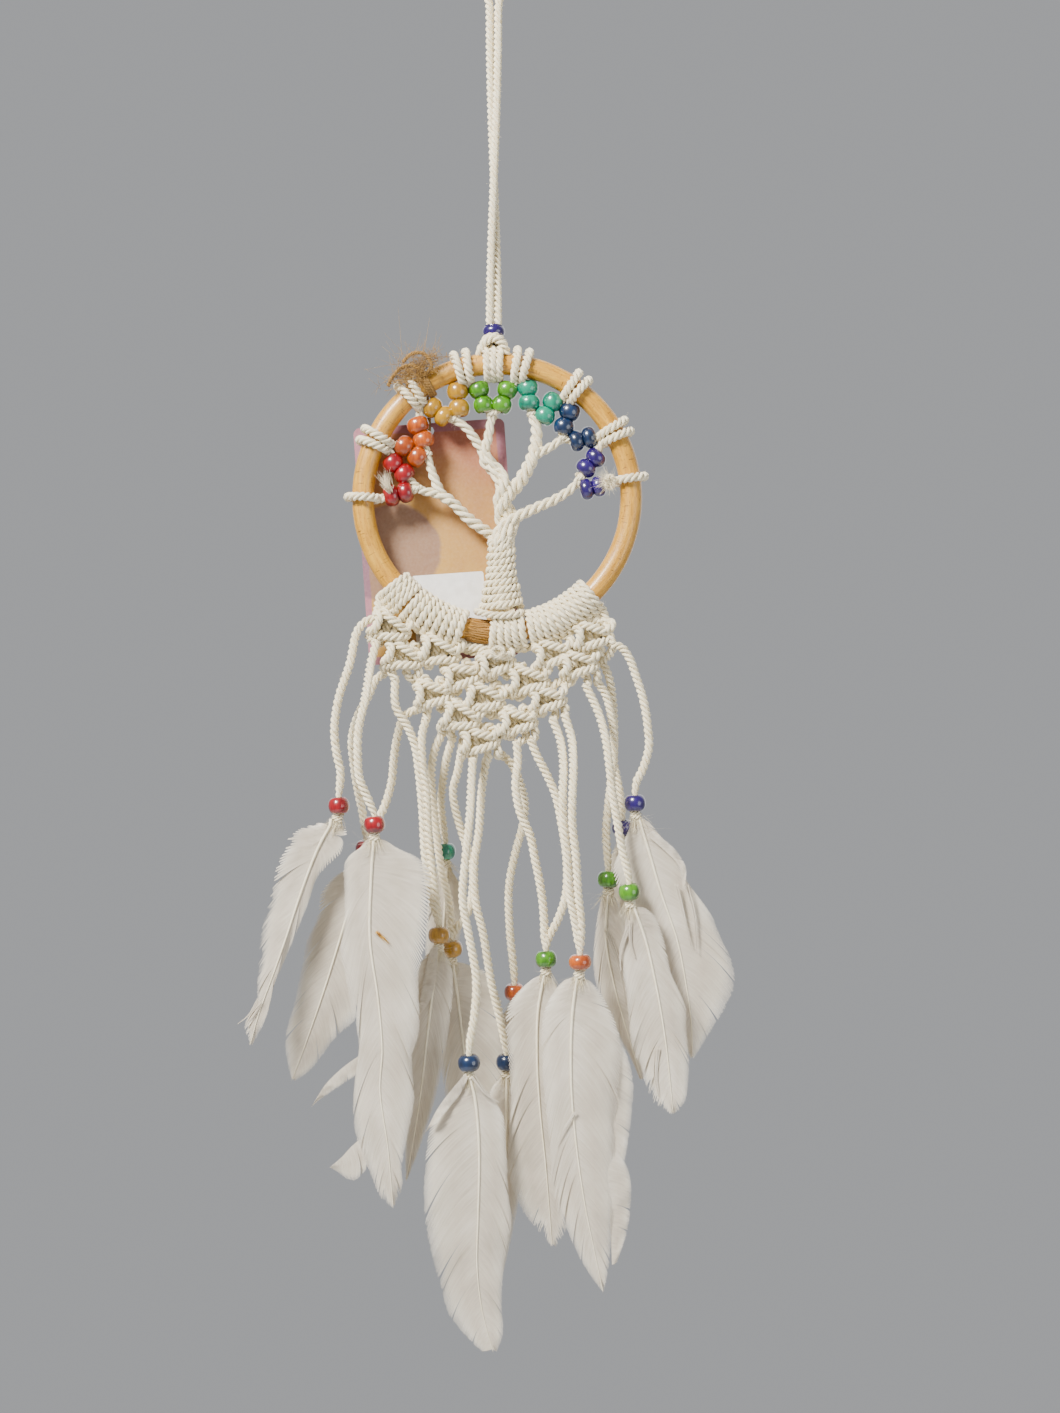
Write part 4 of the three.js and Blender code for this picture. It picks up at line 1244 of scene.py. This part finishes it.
TUFTS = (  # the middle of each frayed end, its way, how far its hairs part, and how many there are
    ([-40.4, -4.8, 2.6], [-0.42, -0.15, 0.85], 0.24, 120),
    ([42.4, -4.6, 5.6], [-0.35, -0.3, -0.1], 0.8, 150),
)


KNOT_AT = np.array([42.6, -4.2, 5.6])  # the overhand knot at the right


def add_frays():
    """Frayed ends at the two outer hitches, left and right."""
    rng = np.random.default_rng(17)
    soup = Soup()
    for at, way, spread, count in TUFTS:
        roots = np.array(at) + rng.normal(0, 0.6, (count, 3))
        ways = unit(np.array(way) + rng.normal(0, spread, (count, 3)) * [1, 0.4, 1])
        hairs(soup, roots, ways, rng.normal(0, 0.2, (count, 3)), rng.uniform(2.5, 6.5, count), 0.1)
    turn = np.linspace(0, 2.6 * TAU, 50)
    wound = np.stack([1.6 * np.cos(turn), 0.9 * np.sin(turn * 1.3), 2.1 * np.sin(turn)], 1)
    rope(soup, smooth(KNOT_AT + wound, 0.4), 1.0, sides=6, pitch=3.6)
    finish_cotton(soup, "frayed_ends")


add_frays()

# ---------------------------------------------------------------- tag and twine


def tag_point(x, z, y):
    """A point on the card, from its hole, turned by the card's lean."""
    c, s = math.cos(TAG_LEAN), math.sin(TAG_LEAN)
    return [TAG_HOLE[0] + x * c - z * s, y, TAG_HOLE[1] + x * s + z * c]


# The label's corners: the x and z of each one's round and its first angle
LABEL_CORNERS = ((16, -56, 0), (-9.5, -56, 90), (-9.5, -83.5, 180), (16, -83.5, 270))


def add_tag():
    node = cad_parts["hang_tag"]
    for place in range(len(node.material_slots)):
        node.material_slots[place].material = card_paint()
    soup = Soup()
    rings = []
    for y in (TAG_FRONT - 0.02, TAG_FRONT + 0.05):
        ring = []
        for cx, cz, start in LABEL_CORNERS:
            for turn in np.radians(np.linspace(start, start + 90, 5)):
                ring.append(tag_point(cx + math.cos(turn), cz + math.sin(turn), y))
        rings.append(ring)
    soup.tubes(np.array(rings)[None], [0, 1], smooth_faces=False)
    finish_piece(soup, "tag_label", [STICKER], "tag")


TWINE_R = 0.75
TWINE_BOW = [  # its two ends
    [[-27, -5.4, 45.5], [-31, -7, 49], [-35.5, -6.6, 48.5], [-39.5, -6, 44.5], [-41, -5.6, 41.5]],
    [[-27, -5.4, 45.5], [-24.5, -7, 49.5], [-27.5, -7.4, 53.5], [-32, -6.6, 53.5], [-35.5, -6, 50.5]],
]
TUFT_HAIRS = 520


def add_twine():
    """Three turns of jute round the rod, the loop that holds the card, and a frayed bow."""
    x, _, z = on_hoop(121.8)
    hx, hz = TAG_HOLE
    soup = Soup()
    for k in range(3):
        ring = []
        for turn in np.radians(np.arange(0, 361, 30)):
            ring.append(on_hoop(120.7 + k * 1.1, 5.0 * math.cos(turn), 5.0 * math.sin(turn)))
        rope(soup, smooth(ring, 0.4), TWINE_R, sides=6, pitch=3.2, phase=k)
    loop = [[x, 5.2, z], [x + 0.1, 7, z - 6], [hx, 7.2, hz + 4], [hx, 7.4, hz + 0.4], [hx, 8.6, hz],
            [hx, 10.4, hz + 0.5], [hx, 11, hz + 5], [x, 8.5, z - 4]]
    rope(soup, smooth(loop, 0.4), TWINE_R, sides=6, pitch=3.2)
    rng = np.random.default_rng(23)
    for k, bow in enumerate(TWINE_BOW):
        rope(soup, smooth(bow, 0.4), 0.8, sides=6, pitch=3.2, phase=k)
    count = TUFT_HAIRS
    spread = rng.normal(0, 1, (count, 3))
    roots = np.array([-31.0, -6.2, 47.8]) + spread[:, :1] * [4.6, 0, 2.4]
    roots = roots + spread[:, 1:2] * [-0.8, 0, 1.5]
    roots[:, 1] += 0.7 * spread[:, 2]
    ways = unit(rng.normal(0, 1, (count, 3)) * [1.0, 0.45, 0.75])
    bends = rng.normal(0, 0.8, (count, 3))
    hairs(soup, roots, ways, bends, rng.uniform(1.5, 6.0, count), 0.125, steps=7)
    finish_piece(soup, "twine", [JUTE], "hoop", ["tag_twine"])


add_tag()
add_twine()

# ---------------------------------------------------------------- feathers
# Loose parts of vanes: the body, the plane they start in, the line they grow from and their edge
FLAPS = [
    ("navy_1", -13.6, [[-11.8, -218.1], [-18.6, -226.1], [-22.8, -232.1], [-27.3, -240.9]],
     [[-11.0, -220.0], [-13.3, -225.3], [-18.6, -232.1], [-27.3, -240.9]]),
    ("red_2", -15.2, [[-48.9, -209.4], [-57.7, -215.4], [-64.9, -222.3], [-70.5, -231.0]],
     [[-47.4, -214.7], [-55.8, -220.8], [-63.3, -225.7], [-70.5, -231.0]]),
    ("red_2", -15.2, [[-47.4, -239.7], [-55.0, -245.8], [-59.2, -250.3], [-63.7, -254.1]],
     [[-45.1, -247.3], [-49.7, -254.9], [-54.6, -259.4], [-63.7, -254.1]]),
    ("orange_2", -15.2, [[36.6, -197.8], [38.4, -213.2], [39.2, -230.3], [42.7, -247.3]],
     [[45.9, -201.8], [51.6, -218.9], [51.2, -235.9], [48.6, -251.9]]),
    ("orange_2", -15.6, [[39.1, -239.7], [41.3, -258.7], [42.9, -275.8], [43.6, -291.3]],
     [[43.6, -242.8], [50.8, -257.9], [50.1, -275.8], [45.5, -290.2]]),
    ("purple_2", -7.0, [[56.5, -127.8], [63.3, -133.5], [69.4, -140.3], [70.5, -148.7]],
     [[58.8, -125.9], [67.9, -133.5], [71.7, -140.3], [70.9, -149.4]]),
    ("yellow_1", -2.6, [[-22.4, -169.9], [-23.1, -180.9], [-25.4, -190.4], [-29.6, -196.5]],
     [[-25.4, -170.7], [-27.7, -179.8], [-29.2, -188.9], [-30.3, -196.1]]),
]
# Locks of loose barbs: the body, their plane, and their way as [x, z]
WISPS = [
    ("purple_2", -7.4, [[71.5, -146.8], [74.6, -158.0], [75.9, -173.0]]),
    ("purple_2", -7.4, [[67.6, -146.8], [71.0, -160.0], [73.5, -170.0]]),
    ("green_2", -0.6, [[41.4, -163.3], [46.4, -177.0], [49.2, -192.4]]),
    ("green_3", -12.7, [[50.7, -160.4], [50.6, -168.0], [52.6, -174.9]]),
    ("green_3", -12.7, [[50.2, -162.2], [46.9, -171.0], [46.8, -179.8]]),
    ("green_3", -13.8, [[60.8, -208.9], [60.2, -219.0], [62.3, -230.3]]),
    ("navy_1", -13.8, [[-9.4, -219.5], [-4.4, -226.0], [1.0, -229.5]]),
    ("red_1", -9.6, [[-90.4, -190.0], [-94.0, -196.0], [-98.5, -199.6]]),
    ("orange_2", -19.0, [[29.8, -233.0], [26.2, -238.5], [22.6, -245.5]]),
]
# Where an edge is frayed: side, from and to along it, and by how much of a barb's length
FRAYS = {
    "red_1": [("left", 0.0, 0.55, 0.22), ("left", 0.85, 1.0, 0.3), ("right", 0.85, 1.0, 0.3)],
    "green_1": [("left", 0.8, 1.0, 0.4), ("right", 0.8, 1.0, 0.4)],
    "red_2": [("left", 0.9, 1.0, 0.25), ("right", 0.9, 1.0, 0.25)],
    "green_3": [("left", 0.7, 1.0, 0.2)],
    "orange_2": [("left", 0.45, 0.55, 0.25)],
}
BOWS = {  # how far each tip bends back, or forward below 0
    "red_1": -3.5, "red_2": -3.6, "red_3": 4.0, "yellow_1": 1.2, "yellow_2": -0.5,
    "teal": 1.5, "navy_1": 0.5, "navy_2": 0.5, "orange_1": 3.0, "green_1": 1.0,
    "orange_2": -3.6, "green_2": 1.5, "green_3": -2.5, "purple_1": 2.5, "purple_2": -0.5,
}
RIBBON_STEPS = np.linspace(0, 1, 10)
BARB_GAP = 0.62
BARB_THICK = 0.035  # half of a barb's thickness
DOWN_HAIRS = 70


def flat_line(points, y, bow=0.0, ends=(0.0, -1.0)):
    """The [x, z] line at depth y, bowed by that much at the tip. ends are the quill's top and the tip."""
    top, tip = ends
    line = []
    for x, z in points:
        depth = y + bow * min(1.0, max(0.0, (top - z) / (top - tip))) ** 2
        x, z = seen(x, z, depth)
        line.append([x, depth, z])
    return smooth(line, 0.8)


def at_share(line, share):
    """Points at those shares of a line's length."""
    s = lengths(line) / lengths(line)[-1]
    return np.stack([np.interp(share, s, line[:, axis]) for axis in range(3)], -1)


def barb_curves(root, edge, t, slant):
    """A curve for each t from the rib to the edge, leaning to the tip."""
    rise = np.clip(t / 0.25, 0, 1)
    share = np.clip(t + slant * (0.1 + 0.9 * rise * rise * (3 - 2 * rise)) * (1 - t) ** 0.7, 0, 1)
    foot = at_share(root, 0.01 + 0.98 * t)
    tip = at_share(edge, share)
    along = unit(at_share(root, np.clip(t + 0.02, 0, 1)) - at_share(root, np.clip(t - 0.02, 0, 1)))
    span = tip - foot
    forward = (span * along).sum(1, keepdims=True) * along
    bend = foot + 0.32 * forward + 0.6 * (span - forward)
    r = RIBBON_STEPS[None, :, None]
    return (1 - r) ** 2 * foot[:, None] + 2 * r * (1 - r) * bend[:, None] + r * r * tip[:, None]


def vane(soup, root, edge, seed, frays=(), slant=0.32, cup=1.1, splits=7):
    """One side of a feather: barbs in a few groups, with slits between the groups."""
    rng = np.random.default_rng(seed)
    count = max(12, int(lengths(edge)[-1] / BARB_GAP))
    cuts = np.sort(rng.choice(np.arange(5, count - 4), min(splits, count // 9), replace=False))
    bounds = [0, *cuts.tolist(), count]
    r = RIBBON_STEPS
    for first, last in zip(bounds, bounds[1:]):
        t = np.linspace(first, last, last - first + 1) / count
        curves = barb_curves(root, edge, t, slant)
        middle = curves[len(curves) // 2]
        pull = rng.uniform(0.02, 0.11) if last - first < count * 0.4 else 0.03
        curves = curves + (middle - curves) * (pull * r**3)[None, :, None]
        lift = rng.normal(0, 0.45)
        tilt = np.linspace(-1, 1, len(t))[:, None] * rng.normal(0, 0.45)
        curves[:, :, 1] += cup * r**2 + lift * r**2 + tilt * r**1.5
        curves[:, :, 1] += 0.5 * np.sin(t * 9 + seed)[:, None] * r**1.3
        curves[:, :, 1] += 0.28 * np.sin(t[:, None] * 26 + 5 * r + seed) * r
        reach = 1 - rng.uniform(0, 0.035, len(t) - 1) - rng.uniform(0, 0.03)
        for start, end, amount in frays:
            inside = (t[:-1] >= start) & (t[:-1] <= end)
            reach -= inside * amount * rng.uniform(0, 1, len(reach)) ** 1.5
        add_ribbons(soup, curves, reach, rng)


def add_ribbons(soup, curves, reach, rng):
    """A thin solid barb between each curve and the next."""
    steps = RIBBON_STEPS
    at = reach[:, None] * steps[None, :] * (len(steps) - 1)
    low = np.clip(np.floor(at).astype(int), 0, len(steps) - 2)
    part = (at - low)[..., None]
    row = np.arange(len(reach))[:, None]
    left = curves[:-1][row, low] * (1 - part) + curves[:-1][row, low + 1] * part
    right = curves[1:][row, low] * (1 - part) + curves[1:][row, low + 1] * part
    narrow = np.interp(steps, [0, 0.82, 1], [1.04, 1.02, 0.35])[None, :, None]
    centre = (left + right) / 2
    left, right = centre + (left - centre) * narrow, centre + (right - centre) * narrow
    twist = rng.normal(0, 0.012, (len(reach), 1)) * np.ones(len(steps))
    left[:, :, 1] += twist
    right[:, :, 1] -= twist
    thick = np.array([0, BARB_THICK, 0])
    rings = np.stack([left - thick, right - thick, right + thick, left + thick], 2)
    soup.tubes(rings, steps * 10, rng.uniform(0, 1, len(reach)), smooth_faces=False)


def ends_of(name):
    """The heights of a rib's two ends."""
    rib = rib_of(name)
    return rib[0][1], rib[-1][1]


def add_feather(name, y, left, right, replaced):
    seed = seed_of(name) + 3
    soup = Soup()
    bow = BOWS[name]
    ends = ends_of(name)
    root = flat_line(rib_of(name), y, bow, ends)
    frays = FRAYS.get(name, [])
    for side, outline in (("left", left), ("right", right)):
        rows = [f[1:] for f in frays if f[0] == side]
        vane(soup, root, flat_line(outline, y, bow, ends), seed + len(side), rows)
    quill = np.vstack([root[:1] + [0, 0, 2.0], root[1:]]) - [0, 0.3, 0]
    s = lengths(quill) / lengths(quill)[-1]
    radius = np.interp(s, [0, 0.08, 0.5, 1], [0.6, 0.6, 0.36, 0.1])
    soup.tubes(circle_rings(quill, radius, 7)[None], lengths(quill), material=1)
    add_down(soup, root, seed + 9)
    return finish_piece(soup, f"feather_{name}", [FEATHER, RACHIS], name, replaced)


def add_down(soup, root, seed):
    """Fluff at the quill's top."""
    rng = np.random.default_rng(seed)
    count = DOWN_HAIRS
    down = unit(root[6] - root[0])
    roots = root[0] + down * rng.uniform(0, 9, (count, 1))
    flat = [1, 0.2, 1]
    ways = unit(down * 0.7 + rng.normal(0, 1, (count, 3)) * [0.8, 0.1, 0.4])
    hairs(soup, roots, ways, rng.normal(0, 0.35, (count, 3)) * flat, rng.uniform(2.5, 8, count), 0.045)


def vane_outline(quill, wide):
    """Left and right edges for a feather whose outline isn't seen."""
    rib = flat_line(quill, 0)
    t = np.linspace(0, 1, 14)
    at = at_share(rib, t)
    along = unit(np.gradient(at, axis=0))
    spread = np.maximum(np.sin(math.pi * t**0.55), 0.01) ** 0.7
    edges = []
    for half in (wide[0], -wide[1]):
        off = half * spread
        edges.append(np.stack([at[:, 0] + along[:, 2] * off, at[:, 2] - along[:, 0] * off], 1))
    return edges


def add_wisp(name, body, y, way):
    """A lock of barbs that narrows to its tip."""
    rng = np.random.default_rng(seed_of(name))
    soup = Soup()
    line = flat_line(way, y)
    run = np.linspace(0, 1, len(line))
    for k in range(9):
        shift = rng.normal(0, 0.42, 3) * [1, 0.35, 0.5] * (1 - 0.85 * run[:, None])
        radius = np.interp(run, [0, 0.3, 1], [0.1, 0.2, 0.03])
        soup.tubes(circle_rings(line + shift, radius, 5)[None], lengths(line) * 0.1, [k * 0.1])
    finish_piece(soup, name, [FEATHER], body)


def add_streak():
    """A few barbs of red_2 that are stained yellow and brown."""
    rng = np.random.default_rng(61)
    paint = Paint("stained_barbs", 0.6)
    stain = paint.noise(paint.coordinates("Object"), 500.0, 2.0)
    paint.colour(paint.ramp(stain, (0.4, "8A5A1C"), (0.6, "DDAA3C")))
    x, z = seen(-45.6, -164.6, -18.4)
    roots = np.array([x, -18.2, z]) + rng.normal(0, 0.25, (16, 3))
    ways = unit(np.array([0.72, -0.02, -0.69]) + rng.normal(0, 0.05, (16, 3)))
    soup = Soup()
    hairs(soup, roots, ways, rng.normal(0, 0.05, (16, 3)), rng.uniform(4, 8, 16), 0.12)
    finish_piece(soup, "stained_barbs", [paint.material], "red_2")


def add_flap(number, body, y, root, edge):
    soup = Soup()
    bow = BOWS[body] * 0.8
    lines = [flat_line(line, y, bow, ends_of(body)) for line in (root, edge)]
    vane(soup, *lines, number + 200, slant=0.1, cup=0.3, splits=2)
    finish_piece(soup, f"flap_{number + 1}", [FEATHER], body)


def add_feathers():
    for name, plan in PENDANTS.items():
        node = [] if name == "teal" else [f"{name}_feather"]  # teal's feather is hidden and has no node
        if name in OUTLINES:
            left, right = OUTLINES[name]["left"], OUTLINES[name]["right"]
        else:
            left, right = vane_outline(plan["quill"], plan["wide"])
        add_feather(name, plan["y"], left, right, node)
    for number, flap in enumerate(FLAPS):
        add_flap(number, *flap)
    for number, (body, y, way) in enumerate(WISPS):
        add_wisp(f"wisp_{number + 1}", body, y, way)


add_feathers()
add_streak()
